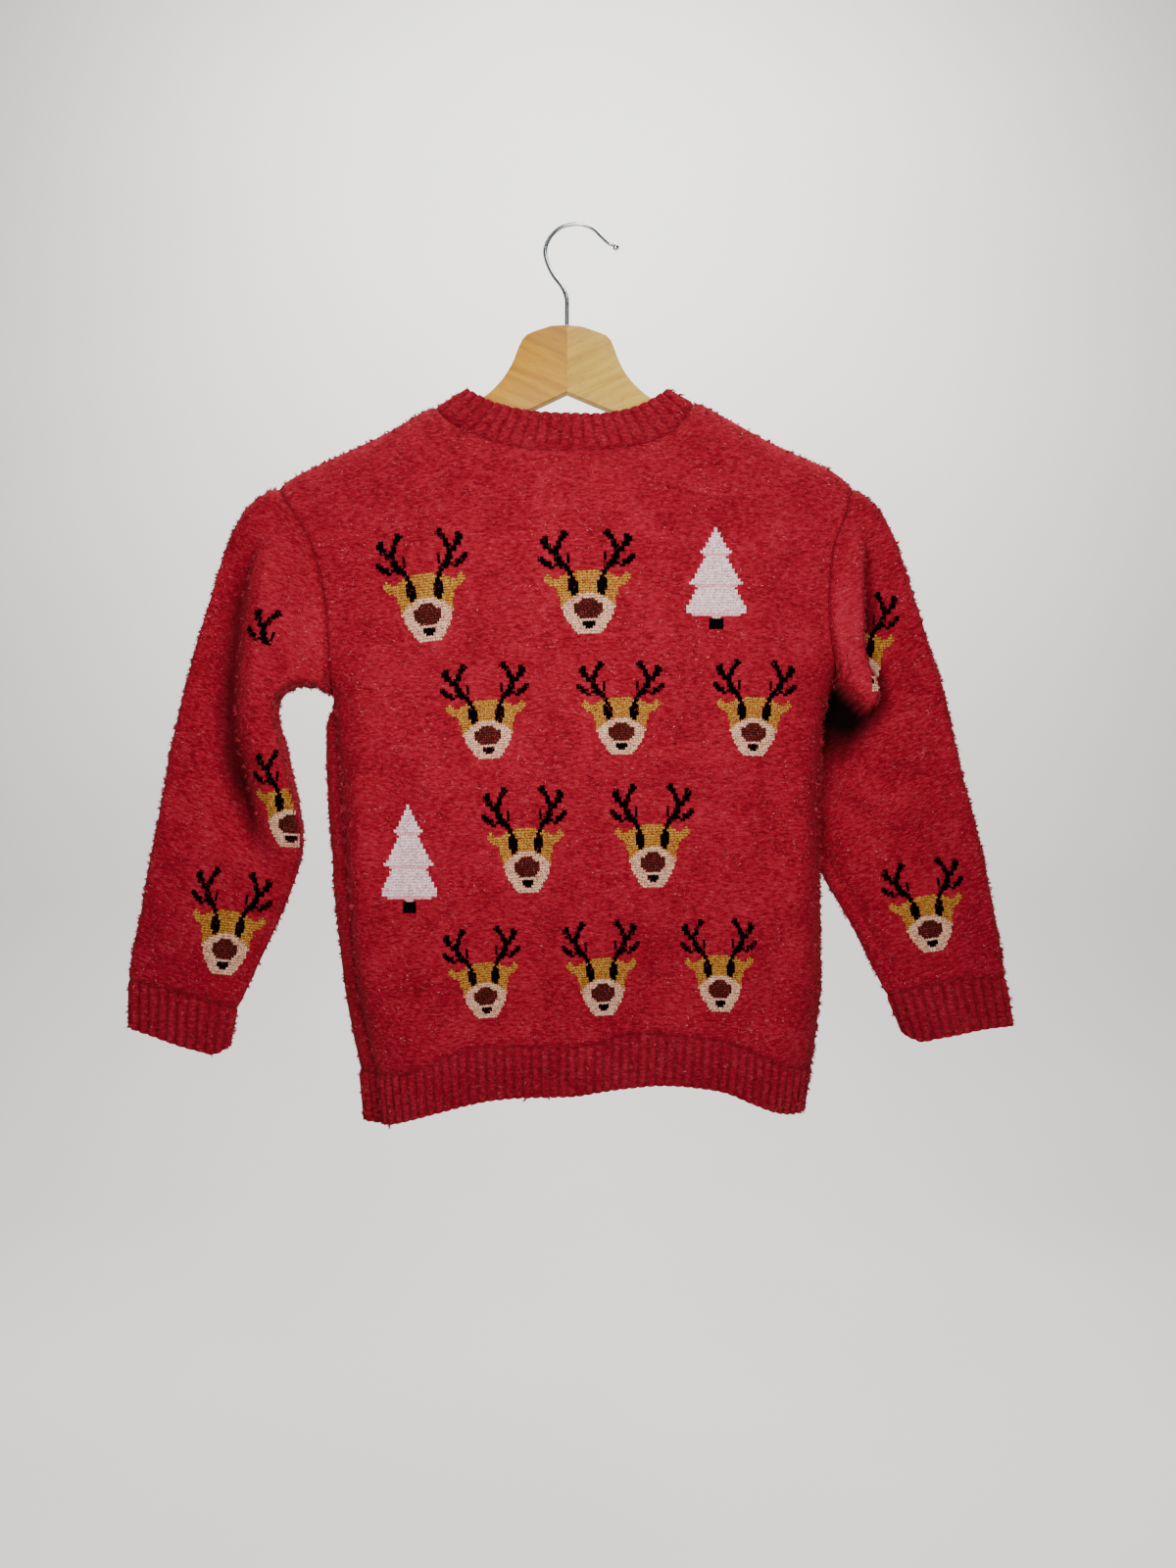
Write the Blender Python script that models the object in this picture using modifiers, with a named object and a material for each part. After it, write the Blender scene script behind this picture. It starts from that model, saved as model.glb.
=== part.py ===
"""A knitted christmas sweater on a wooden hanger.

The cloth is one thin wall, cut into the pieces that a maker knits and sews: two body panels,
two sleeves, the neckband, the hem ribs and the cuffs. Each piece is a loft of sections, with
the near side of the garment at -Y. All tables are in millimetres.
"""
import math

import bmesh
import bpy
import numpy as np

MM = 0.001
WALL = 2.4            # thickness of the knitted cloth
SEAM_GAP = 0.36       # clear gap between two pieces at a seam
RIB_RAISE = 1.3       # height of a rib's crest over its groove
BODY_RIB_PITCH = 7.0
NECK_RIB_PITCH = 8.6
CUFF_RIB_PITCH = 7.6
NECK_STEPS = (0.0, 0.03, 0.08, 0.18, 0.33, 0.5, 0.67, 0.82, 0.92, 0.97, 1.0)
SHOULDER_SHARE = 0.27  # of the body's width, under each shoulder
SHOULDER_STEPS = (0.0, 0.05, 0.14, 0.30, 0.52, 0.76, 1.0)
ARMHOLE_STEPS = (0.0, 0.006, 0.02, 0.045, 0.10, 0.20, 0.34, 0.57, 0.79, 0.92, 1.0)
SIDE_STEPS = (0.0, 0.06, 0.15, 0.27, 0.40, 0.53, 0.66, 0.78, 0.90, 1.0)
CURVE_STEPS = 24      # fine steps between two points of a table
UNDERARM = len(ARMHOLE_STEPS) - 1
FRONT, BACK = 1.0, -1.0   # the front panel lies at +Y, the back panel at -Y

# Seam lines as (x, z), from the shoulder's end down.
ARMHOLE_LEFT = ((-225.8, -201.0), (-219.2, -212.6), (-208.8, -226.7), (-199.5, -244.1),
                (-191.6, -262.1), (-187.7, -286.5), (-185.5, -307.1), (-184.2, -333.8),
                (-185.2, -360.8))
ARMHOLE_RIGHT = ((210.8, -201.8), (207.3, -212.9), (205.1, -221.8), (198.8, -235.5),
                 (193.9, -248.5), (190.6, -273.9), (190.6, -304.0), (193.1, -326.2),
                 (198.8, -345.8))
SIDE_LEFT = ((-185.2, -360.8), (-181.3, -397.0), (-178.8, -427.0), (-174.4, -471.0),
             (-170.0, -523.0), (-164.7, -575.0), (-157.3, -620.0), (-151.4, -646.5))
SIDE_RIGHT = ((198.8, -345.8), (193.5, -375.0), (190.5, -427.0), (189.8, -472.0),
              (189.0, -532.0), (188.2, -577.0), (186.0, -607.0), (180.4, -642.8))
SHOULDER_LEFT = ((-225.8, -201.0), (-215.2, -192.8), (-192.8, -182.2), (-170.2, -172.5),
                 (-147.8, -160.5), (-125.2, -149.2), (-107.2, -138.8))
SHOULDER_RIGHT = ((210.8, -201.8), (201.0, -191.2), (178.5, -180.0), (156.0, -169.5),
                  (133.5, -158.2), (111.0, -145.5), (90.8, -135.8))

# Neck curves as (x, y, z), from the wearer's left neck point to the right one.
NECK_SEAM_BACK = ((-107.2, 0.0, -138.8), (-105.4, -6.2, -141.0), (-101.0, -9.6, -147.0),
                  (-92.0, -12.0, -155.0), (-66.0, -17.0, -167.7), (-37.2, -20.0, -175.2),
                  (-8.0, -21.0, -177.0), (32.5, -20.0, -174.5), (58.0, -17.0, -168.3),
                  (76.5, -12.0, -159.5), (85.0, -9.6, -148.0), (89.0, -6.2, -139.5),
                  (90.8, 0.0, -135.8))
NECK_EDGE_BACK = ((-83.2, 0.0, -125.2), (-81.2, -6.0, -126.6), (-76.5, -9.4, -130.2),
                  (-68.0, -11.5, -135.5), (-49.2, -16.0, -143.1), (-26.0, -18.5, -147.5),
                  (0.0, -19.0, -148.5), (31.8, -18.0, -147.4), (46.6, -15.0, -142.1),
                  (58.5, -11.5, -135.5), (65.5, -9.4, -130.5), (69.4, -6.0, -127.3),
                  (71.2, 0.0, -126.0))
NECK_SEAM_FRONT = ((-107.2, 0.0, -138.8), (-105.4, 6.2, -141.2), (-101.5, 9.6, -148.5),
                   (-94.0, 13.0, -160.0), (-72.0, 19.0, -180.0), (-40.0, 23.0, -196.0),
                   (-8.0, 24.0, -200.0), (25.0, 23.0, -196.0), (57.0, 19.0, -180.0),
                   (78.0, 13.0, -160.0), (85.5, 9.6, -147.5), (89.0, 6.2, -139.5),
                   (90.8, 0.0, -135.8))
NECK_EDGE_FRONT = ((-83.2, 0.0, -125.2), (-81.2, 6.0, -127.0), (-77.0, 9.4, -132.0),
                   (-69.0, 12.5, -142.0), (-50.0, 16.5, -158.0), (-28.0, 20.0, -168.0),
                   (-6.0, 21.0, -171.0), (16.0, 20.0, -168.0), (38.0, 16.5, -158.0),
                   (57.0, 12.5, -142.0), (65.0, 9.4, -132.0), (69.2, 6.0, -127.3),
                   (71.2, 0.0, -126.0))

# The seam over the hem ribs and the hem's lower edge, as (x, z).
HEM_SEAM_BACK = ((-151.4, -646.5), (-136.9, -643.8), (-125.6, -642.6), (-107.0, -635.5),
                 (-90.3, -628.2), (-75.6, -623.6), (-44.1, -622.7), (-7.7, -622.7),
                 (16.3, -620.5), (38.9, -613.9), (57.8, -613.2), (82.6, -615.4),
                 (106.7, -617.8), (124.4, -621.7), (138.4, -629.9), (155.7, -637.2),
                 (180.4, -642.8))
HEM_EDGE_BACK = ((-147.7, -683.7), (-140.9, -682.5), (-129.4, -679.5), (-118.3, -675.5),
                 (-107.2, -672.3), (-85.1, -666.9), (-63.2, -663.0), (-41.3, -660.8),
                 (2.5, -659.4), (24.3, -655.7), (57.1, -652.1), (82.7, -652.1),
                 (111.8, -656.4), (134.0, -665.0), (156.4, -673.9), (175.5, -674.5))
HEM_SEAM_FRONT = ((-151.4, -646.5), (-120.0, -640.0), (-80.0, -630.0), (-40.0, -624.0),
                  (0.0, -621.0), (40.0, -619.0), (80.0, -620.0), (120.0, -626.0),
                  (155.0, -636.0), (180.4, -642.8))
HEM_EDGE_FRONT = ((-147.7, -683.7), (-120.0, -678.0), (-80.0, -668.0), (-40.0, -661.0),
                  (0.0, -657.0), (40.0, -655.0), (80.0, -656.0), (120.0, -662.0),
                  (155.0, -671.0), (175.5, -674.5))

# Half depth of the body at each row: at the armhole seam, and half way across.
ARMHOLE_DEPTH = (0.0, 5.0, 8.5, 11.0, 14.5, 18.0, 20.0, 21.0, 19.5, 14.0, 0.0)
MIDDLE_DEPTH = (0.0, 5.2, 9.2, 11.6, 15.0, 19.0, 23.0, 26.0, 28.0, 29.0, 29.5,
                30.0, 30.5, 31.0, 31.0, 30.5, 29.5, 28.5, 27.5, 27.0)
# How far in from its side the body takes to reach its full depth at each row, and how
# quickly it rises there: 1 is a soft slope and 0.5 a round edge.
EDGE_ROUND = (60.0,) * (UNDERARM - 1) + (52.0,) + (44.0,) * len(SIDE_STEPS)
EDGE_POWER = (1.0,) * (UNDERARM - 2) + (0.9, 0.7) + (0.5,) * len(SIDE_STEPS)
# The left side seam has crept round to the back, so the front panel wraps over the side.
WRAP_DEPTH = (0.0, 3.0, 6.0, 8.0, 9.0, 9.0, 9.0, 9.0, 9.0, 9.0)
WRAP_WIDTH = (0.0, 12.0, 16.5, 18.5, 19.5, 20.0, 19.8, 19.3, 19.2, 18.5)
WRAP_SHIFT = (0.0, 1.0, 0.85, 0.36, 0.08)   # share of the width at the first columns
WRAP_RISE = (0.0, 0.27, 0.62, 0.88, 0.98)   # share of the depth at the same columns

# Broad folds of the body: where the fold's middle is at its top and foot, its half width,
# and how far it stands out (+) or falls in (-).
FOLDS = {
    BACK: (
        {"top": (-92.0, -330.0), "foot": (-112.0, -640.0), "half": 34.0, "out": 3.0},
        {"top": (-30.0, -420.0), "foot": (-62.0, -640.0), "half": 30.0, "out": -2.5},
        {"top": (64.0, -450.0), "foot": (52.0, -640.0), "half": 38.0, "out": -3.5},
        {"top": (120.0, -380.0), "foot": (142.0, -640.0), "half": 32.0, "out": 3.5},
    ),
    FRONT: (
        {"top": (-110.0, -380.0), "foot": (-120.0, -640.0), "half": 34.0, "out": 3.0},
        {"top": (-20.0, -400.0), "foot": (-8.0, -640.0), "half": 40.0, "out": -3.5},
        {"top": (96.0, -350.0), "foot": (118.0, -640.0), "half": 36.0, "out": 3.5},
    ),
}

# Sections of the sleeves, from the armhole to the cuff. Each goes from the outer edge, over
# the near side, to the inner edge. trough and ridge are the places along the section, and
# the depths, of the long fold that hangs from the shoulder; flap, turn and edge are the
# depths between the ridge and the inner edge; far is the depth of the hidden side.
SLEEVE_COLUMNS = ("outer_x", "outer_y", "outer_z", "inner_x", "inner_y", "inner_z", "bow",
                  "bulge", "trough", "trough_y", "ridge", "ridge_y", "flap_y", "turn_y",
                  "edge_y", "far", "seam_share")
SLEEVE_LEFT = (
    (-236.0, 0, -204.8, -192.8, 0, -354.8, 0, 13.5, .20, -15.5, .34, -18.0, -20, -16, -8, 18, .75),
    (-248.3, 0, -213.8, -201.0, 0, -353.3, 0, 13.0, .20, -14.0, .32, -19.5, -21, -17, -9, 17, .50),
    (-258.0, 0, -227.3, -209.3, 0, -353.3, 0, 12.0, .23, -11.0, .33, -21.0, -22, -19, -10, 16, .30),
    (-265.5, 0, -243.8, -216.8, 0, -356.3, 0, 11.0, .31, -7.0, .39, -22.0, -24, -21, -12, 16, .15),
    (-273.0, 0, -266.3, -222.8, 0, -361.5, 0, 10.0, .42, -5.0, .50, -23.0, -25, -23, -14, 16, .05),
    (-280.5, 0, -293.3, -225.8, 0, -369.8, 0, 9.5, .51, -4.0, .58, -23.5, -26, -24, -15, 16, 0),
    (-288.0, 0, -318.0, -225.0, 0, -381.8, 0, 9.5, .51, -4.0, .58, -24.0, -26, -23, -14, 16, 0),
    (-295.5, 0, -344.3, -220.5, 0, -398.3, 0, 9.5, .50, -4.0, .57, -23.0, -25, -21, -12, 16, 0),
    (-303.0, 0, -372.0, -215.3, 0, -419.3, 0, 9.5, .51, -4.5, .585, -21.0, -22, -19, -11, 15, 0),
    (-309.8, 0, -402.0, -210.0, 0, -441.8, 0, 10.0, .54, -6.0, .63, -18.0, -19, -16, -9, 15, 0),
    (-315.0, 0, -434.3, -207.0, 0, -464.3, 0, 10.5, .58, -8.0, .69, -16.0, -16, -13, -8, 14, 0),
    (-321.0, 0, -465.8, -209.3, 0, -485.3, 0, 11.0, .56, -10.0, .70, -14.0, -14, -12, -7, 14, 0),
    (-327.0, 0, -496.5, -216.8, 0, -507.8, 0, 11.0, .48, -11.5, .66, -13.0, -13, -11, -7, 13, 0),
    (-331.5, 0, -524.3, -228.0, 0, -534.0, 1, 10.5, .38, -12.5, .60, -13.0, -12, -10, -6, 12, 0),
    (-336.8, 0, -550.5, -242.3, 0, -565.5, 2, 9.5, .34, -12.0, .56, -12.5, -12, -9, -6, 11, 0),
    (-340.5, 0, -575.3, -258.0, 0, -597.8, 2, 9.0, .32, -11.5, .54, -12.0, -11, -9, -6, 11, 0),
)
SLEEVE_RIGHT = (
    (219.0, 0, -205.5, 203.5, 4, -344.0, 0, 13.5, .20, -15.5, .34, -18.5, -20, -15, -6, 18, .75),
    (227.3, 0, -213.0, 205.5, 11, -348.5, 0, 13.0, .20, -14.0, .32, -19.5, -21, -14, -2, 19, .50),
    (235.5, 0, -223.5, 204.0, 18, -357.0, 0, 11.5, .38, -8.0, .50, -20.5, -22, -12, 3, 20, .30),
    (243.0, 0, -237.8, 200.5, 23, -367.5, 0, 10.5, .53, -4.0, .62, -20.5, -21, -8, 8, 21, .15),
    (250.5, 1, -256.5, 197.0, 26, -379.5, 0, 9.5, .55, -1.0, .63, -18.0, -18, -2, 12, 21, .05),
    (258.0, 2, -278.3, 194.0, 27, -393.5, 0, 9.0, .51, 0.0, .585, -14.0, -11, 4, 14, 20, 0),
    (266.3, 3, -305.3, 191.5, 27, -410.3, 0, 9.0, .46, 0.5, .535, -8.0, -1, 8, 15, 19, 0),
    (274.8, 4, -330.8, 189.5, 26, -429.0, 0, 9.5, .42, -2.0, .55, 0.0, 4, 9, 15, 18, 0),
    (283.8, 5, -357.8, 188.3, 25, -449.3, 0, 10.5, .36, -4.5, .56, -1.5, 3, 8, 15, 17, 0),
    (290.8, 6, -387.8, 188.0, 23, -469.5, 0, 11.0, .34, -6.0, .56, -3.0, 2, 7, 14, 16, 0),
    (298.3, 6, -420.8, 189.3, 21, -486.8, 1, 11.5, .34, -6.5, .56, -4.0, 0, 4, 12, 15, 0),
    (306.0, 6, -451.5, 195.8, 18, -504.0, 2, 11.5, .34, -7.0, .56, -5.5, -2, 2, 9, 14, 0),
    (313.0, 5, -480.8, 204.0, 14, -519.0, 3, 11.0, .34, -7.5, .56, -7.0, -4, -1, 6, 13, 0),
    (319.5, 5, -513.0, 214.0, 10, -537.8, 4, 10.5, .34, -8.0, .56, -8.0, -6, -3, 3, 12, 0),
    (325.2, 4, -546.8, 225.6, 7, -561.8, 5, 10.0, .34, -8.5, .56, -8.5, -7, -4, 1, 12, 0),
    (329.5, 4, -574.8, 238.6, 4, -589.0, 5, 9.5, .34, -8.5, .56, -9.0, -8, -5, -1, 11, 0),
)
# The outer edge of a sleeve is rounded over its first points: share of the bulge at each, and
# how much of the section they take, which stops short of the trough.
OUTER_ROUND = (0.0, 0.42, 0.74, 0.93, 1.0)
OUTER_SHARE = 0.10
OUTER_TO_TROUGH = 0.6
FAR_ROUND = (0.0, 0.36, 0.60, 0.78, 0.93, 1.0, 1.0, 0.96, 0.80, 0.52, 0.0)

# How far the cuff's edge hangs below its seam, by the place along the section, and how its
# two ends move across.
CUFF_DROP = ((0.0, 36.0), (0.3, 38.0), (0.6, 40.0), (0.85, 38.0), (1.0, 28.0))
CUFF_SHIFT = {"left": (0.7, -5.0), "right": (5.6, 12.0)}

NECK_SWELL = 1.05     # depth of the neckband's middle to that of its two edges
HEM_SWELL = 0.8       # how far the middle of a hem rib piece stands out
HEM_DRAW_IN = 0.97    # depth of the hem's edge to that of its seam

# The hanger: one half's outline as (x, z) to the left of the glue joint, and to the right.
HANGER_JOINT_X = -6.4
HANGER_THICK = 10.6
HANGER_EDGE = 1.4
HANGER_LEFT = ((-18.6, -77.6), (-34.0, -82.8), (-39.5, -86.8), (-43.2, -94.1), (-48.4, -107.0),
               (-56.6, -119.5), (-68.6, -131.0), (-85.0, -139.0), (-107.0, -148.5),
               (-148.0, -169.5), (-193.0, -191.5), (-206.0, -198.5), (-213.5, -206.0),
               (-214.5, -213.0), (-209.0, -218.0), (-193.0, -211.5), (-148.0, -191.5),
               (-107.0, -173.0), (-68.0, -156.5), (-36.5, -142.6))
HANGER_RIGHT = ((5.3, -78.2), (22.0, -84.0), (26.6, -87.6), (29.4, -94.1), (34.6, -107.0),
                (42.0, -118.6), (55.2, -131.0), (70.0, -138.5), (91.0, -148.0),
                (133.5, -168.0), (178.5, -190.0), (191.0, -197.5), (198.5, -205.0),
                (199.5, -212.0), (194.0, -217.0), (178.5, -210.0), (133.5, -190.0),
                (91.0, -172.0), (56.0, -156.5), (28.4, -143.0))
HANGER_TOP_Z = -76.9
HANGER_APEX_Z = -128.4

WIRE = 3.3
WIRE_SIDES = 10
BALL = 5.4            # width of the ball on the wire's tip
# Sections of the ball as (place along it, width there), both as shares of its radius.
BALL_PROFILE = ((-0.75, 0.66), (-0.45, 0.89), (0.0, 1.0), (0.45, 0.89), (0.8, 0.60), (1.0, 0.12))
HOOK_POINTS = 26
HOOK_ROUTE = ((-6.4, -76.5), (-6.4, -64.0), (-6.6, -55.0), (-9.8, -46.5), (-16.5, -37.5),
              (-21.2, -28.0), (-23.0, -18.0), (-19.5, -8.5), (-12.0, -1.2), (-2.0, 1.75),
              (7.0, 1.2), (14.5, -2.2), (20.5, -8.0), (26.0, -13.0), (30.8, -15.8))


def smooth_curve(points, fractions):
    """Points at the given shares of the length of a smooth curve through the table's points."""
    p = np.array(points, float)
    p = np.vstack([2 * p[0] - p[1], p, 2 * p[-1] - p[-2]])
    fine = []
    for a, b, c, d in zip(p, p[1:], p[2:], p[3:]):
        for t in np.linspace(0.0, 1.0, CURVE_STEPS, endpoint=False):
            fine.append(0.5 * (2 * b + (c - a) * t + (2 * a - 5 * b + 4 * c - d) * t * t
                               + (3 * b - 3 * c + d - a) * t ** 3))
    fine.append(p[-2])
    fine = np.array(fine)
    length = np.concatenate([[0.0], np.cumsum(np.linalg.norm(np.diff(fine, axis=0), axis=1))])
    at = np.array(fractions) * length[-1]
    return np.column_stack([np.interp(at, length, fine[:, i]) for i in range(fine.shape[1])])


def lengths(points):
    """Length along a line of points, from 0 to 1."""
    steps = np.linalg.norm(np.diff(points, axis=0), axis=1)
    total = np.concatenate([[0.0], np.cumsum(steps)])
    return total / total[-1]


def flat_to_space(xz, y=0.0):
    xz = np.asarray(xz, float)
    return np.column_stack([xz[:, 0], np.full(len(xz), y), xz[:, 1]])


def body_columns(shoulder_left, neck, shoulder_right):
    """The upper edge of a body panel: shoulder, neck, shoulder."""
    left = flat_to_space(smooth_curve(shoulder_left, SHOULDER_STEPS))
    right = flat_to_space(smooth_curve(shoulder_right, SHOULDER_STEPS))
    middle = smooth_curve(neck, NECK_STEPS)
    return np.vstack([left[:-1], middle, right[::-1][1:]])


def fold_depth(side, x, z):
    total = 0.0
    for fold in FOLDS[side]:
        down = (fold["top"][1] - z) / (fold["top"][1] - fold["foot"][1])
        down = min(max(down, 0.0), 1.0)
        middle = fold["top"][0] + (fold["foot"][0] - fold["top"][0]) * down
        across = (x - middle) / fold["half"]
        total += fold["out"] * math.sin(0.5 * math.pi * down) * math.exp(-across * across)
    return total


def body_panel(side, neck_seam, hem_seam):
    """Outer points of one body panel, rows from the shoulder down, columns left to right."""
    top = body_columns(SHOULDER_LEFT, neck_seam, SHOULDER_RIGHT)
    rows = {}
    for name, armhole, seam in (("left", ARMHOLE_LEFT, SIDE_LEFT),
                                ("right", ARMHOLE_RIGHT, SIDE_RIGHT)):
        upper = smooth_curve(armhole, ARMHOLE_STEPS)
        rows[name] = np.vstack([upper, smooth_curve(seam, SIDE_STEPS)[1:]])
    left, right = rows["left"], rows["right"]
    down = 0.5 * (lengths(left) + lengths(right))
    across = (top[:, 0] - top[0, 0]) / (top[-1, 0] - top[0, 0])
    across_foot = np.concatenate([np.array(SHOULDER_STEPS[:-1]) * SHOULDER_SHARE,
                                  np.linspace(SHOULDER_SHARE, 1.0 - SHOULDER_SHARE,
                                              len(NECK_STEPS)),
                                  1.0 - np.array(SHOULDER_STEPS[-2::-1]) * SHOULDER_SHARE])
    foot = smooth_curve(hem_seam, across_foot)
    points = np.zeros((len(down), len(across), 3))
    for i, v in enumerate(down):
        for j in range(len(across)):
            u = (1 - v) * across[j] + v * across_foot[j]
            edge = (1 - v) * top[j, [0, 2]] + v * foot[j] + (1 - u) * left[i] + u * right[i]
            corners = ((1 - u) * (1 - v) * left[0] + u * (1 - v) * right[0]
                       + (1 - u) * v * left[-1] + u * v * right[-1])
            x, z = edge - corners
            points[i, j] = (x, body_depth(side, i, x, z, left[i], right[i], top[j, 1], v), z)
    if side == FRONT:
        wrap_side(points)
    return points


def body_depth(side, row, x, z, left, right, top_y, v):
    in_armhole = row <= UNDERARM
    wrap = 0.0 if in_armhole else WRAP_DEPTH[row - UNDERARM]
    seam = ARMHOLE_DEPTH[row] if in_armhole else 0.0
    near_left = x - left[0] < right[0] - x
    from_edge = max(min(x - left[0], right[0] - x), 0.0)
    if near_left and not in_armhole:
        seam = wrap if side == BACK else -wrap
    inside = 1.0 - min(from_edge / EDGE_ROUND[row], 1.0)
    share = (1.0 - inside * inside) ** EDGE_POWER[row]
    folds = fold_depth(side, x, z) * share
    depth = seam + (MIDDLE_DEPTH[row] + folds - seam) * share
    if top_y:
        rest = abs(top_y) * (1.0 - v)
        depth = math.hypot(rest, depth)
    return side * depth


def wrap_side(points):
    """The front panel stands out past the left side seam, and so over the garment's side."""
    for i in range(UNDERARM + 1, len(points)):
        width = WRAP_WIDTH[i - UNDERARM]
        seam_y = points[i, 0, 1]
        full = points[i, len(WRAP_SHIFT), 1]
        for j, (shift, rise) in enumerate(zip(WRAP_SHIFT, WRAP_RISE)):
            points[i, j, 0] -= width * shift
            points[i, j, 1] = seam_y + (full - seam_y) * rise


def near_places(trough, ridge):
    """Places of a section's near points: the rounded edge, the trough, the ridge, the rest."""
    shares = np.array(ARMHOLE_STEPS)
    edge = len(OUTER_ROUND)
    places = shares.copy()
    places[:edge] *= min(OUTER_SHARE, OUTER_TO_TROUGH * trough) / shares[edge - 1]
    places[edge], places[edge + 1] = trough, ridge
    rest = (shares[edge + 2:] - shares[edge + 1]) / (1.0 - shares[edge + 1])
    places[edge + 2:] = ridge + rest * (1.0 - ridge)
    return places


def sleeve_sections(table, back_seam, front_seam):
    """Rings of a sleeve, from the armhole's own points down to the cuff."""
    shares = np.array(ARMHOLE_STEPS)
    rings = [np.vstack([back_seam, front_seam[::-1][1:-1]])]
    chord = back_seam[0] + np.outer(shares, back_seam[-1] - back_seam[0])
    back_bend, front_bend = back_seam - chord, front_seam - chord
    for numbers in table:
        row = dict(zip(SLEEVE_COLUMNS, numbers))
        outer = np.array([row["outer_x"], row["outer_y"], row["outer_z"]], float)
        inner = np.array([row["inner_x"], row["inner_y"], row["inner_z"]], float)
        near_share = near_places(row["trough"], row["ridge"])
        depths = np.array([row["outer_y"] - row["bulge"] * share for share in OUTER_ROUND]
                          + [row["trough_y"], row["ridge_y"], row["flap_y"], row["turn_y"],
                             row["edge_y"], row["inner_y"]])
        near = outer + np.outer(near_share, inner - outer)
        near[:, 1] = depths
        near[:, 2] += row["bow"] * np.sin(math.pi * near_share)
        far = outer + np.outer(shares, inner - outer)
        far[:, 1] += row["far"] * np.array(FAR_ROUND)
        bend = row["seam_share"]
        near[:, [0, 2]] += bend * back_bend[:, [0, 2]]
        far[:, [0, 2]] += bend * front_bend[:, [0, 2]]
        rings.append(np.vstack([near, far[::-1][1:-1]]))
    return np.array(rings)


def cuff_sections(seam_ring, name):
    """Three rings of a cuff: its seam, its middle and its edge."""
    half = len(ARMHOLE_STEPS)
    place = lengths(seam_ring[:half])
    far_place = lengths(np.vstack([seam_ring[half - 1:], seam_ring[:1]]))
    share = np.concatenate([place, 1.0 - far_place[1:-1]])
    drop = np.interp(share, *zip(*CUFF_DROP))
    shift = np.interp(share, (0.0, 1.0), CUFF_SHIFT[name])
    rings = [seam_ring]
    for down in (0.5, 1.0):
        ring = seam_ring.copy()
        ring[:, 0] += down * shift
        ring[:, 2] -= down * drop
        rings.append(ring)
    return np.array(rings)


def neckband_sections(back, front):
    """Three rings of the neckband: its seam, a middle that stands out a little, its edge."""
    edge = np.vstack([smooth_curve(NECK_EDGE_BACK, NECK_STEPS),
                      smooth_curve(NECK_EDGE_FRONT, NECK_STEPS)[::-1][1:-1]])
    seam = np.vstack([back, front[::-1][1:-1]])
    middle = 0.5 * (seam + edge)
    middle[:, 1] *= NECK_SWELL
    return np.array([seam, middle, edge])


def hem_sections(side, seam_row, edge_table):
    """Three rows of a hem rib piece, from its seam down."""
    seam_x = seam_row[:, 0]
    edge_x, edge_z = np.array(edge_table).T
    across = (seam_x - seam_x[0]) / (seam_x[-1] - seam_x[0])
    x = edge_x[0] + across * (edge_x[-1] - edge_x[0])
    edge = np.column_stack([x, seam_row[:, 1] * HEM_DRAW_IN, np.interp(x, edge_x, edge_z)])
    middle = 0.5 * (seam_row + edge)
    middle[1:-1, 1] += side * HEM_SWELL
    return np.array([seam_row, middle, edge])


def outward_normals(sheets):
    """One normal for each point of the garment, shared by the pieces that meet there."""
    total = {}

    def key(point):
        return tuple(np.round(point, 3))

    for grid, ring in sheets.values():
        columns = grid.shape[1] if ring else grid.shape[1] - 1
        for i in range(grid.shape[0] - 1):
            for j in range(columns):
                k = (j + 1) % grid.shape[1]
                a, b, c, d = grid[i, j], grid[i, k], grid[i + 1, k], grid[i + 1, j]
                normal = np.cross(d - b, c - a)
                for corner in (a, b, c, d):
                    total[key(corner)] = total.get(key(corner), 0.0) + normal
    found = {}
    for name, (grid, ring) in sheets.items():
        normals = np.array([[total[key(p)] for p in row] for row in grid])
        found[name] = normals / np.linalg.norm(normals, axis=2, keepdims=True)
    return found


def draw_back_from_seams(grid, ring):
    """Moves a piece's edges in by half the seam gap, square to each seam."""

    def pull(edge, beside, closed):
        if closed:
            along = np.roll(edge, -1, axis=0) - np.roll(edge, 1, axis=0)
        else:
            along = np.gradient(edge, axis=0)
        along /= np.linalg.norm(along, axis=1, keepdims=True)
        way = beside - edge
        way -= along * np.sum(way * along, axis=1, keepdims=True)
        return 0.5 * SEAM_GAP * way / np.linalg.norm(way, axis=1, keepdims=True)

    out = grid.copy()
    out[0] += pull(grid[0], grid[1], ring)
    out[-1] += pull(grid[-1], grid[-2], ring)
    if not ring:
        out[:, 0] += pull(grid[:, 0], grid[:, 1], False)
        out[:, -1] += pull(grid[:, -1], grid[:, -2], False)
    return out


def with_ribs(outer, inner, ring, pitch):
    """Splits a band's columns into ribs, and raises the outer points of each crest."""
    count = outer.shape[1]
    spans = count if ring else count - 1
    new_outer, new_inner = [], []
    for j in range(spans):
        k = (j + 1) % count
        width = np.linalg.norm(outer[0, k] - outer[0, j])
        points = 2 * max(1, round(width / pitch))
        for step in range(points):
            t = step / points
            o = outer[:, j] * (1 - t) + outer[:, k] * t
            i = inner[:, j] * (1 - t) + inner[:, k] * t
            if step % 2:
                o = o + (o - i) * RIB_RAISE / WALL
            new_outer.append(o)
            new_inner.append(i)
    if not ring:
        new_outer.append(outer[:, -1])
        new_inner.append(inner[:, -1])
    return np.array(new_outer).transpose(1, 0, 2), np.array(new_inner).transpose(1, 0, 2)


def material(name, colour, roughness, metallic=0.0):
    made = bpy.data.materials.new(name)
    made.use_nodes = True
    shader = made.node_tree.nodes["Principled BSDF"]
    shader.inputs["Base Color"].default_value = (*colour, 1.0)
    shader.inputs["Roughness"].default_value = roughness
    shader.inputs["Metallic"].default_value = metallic
    return made


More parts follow.
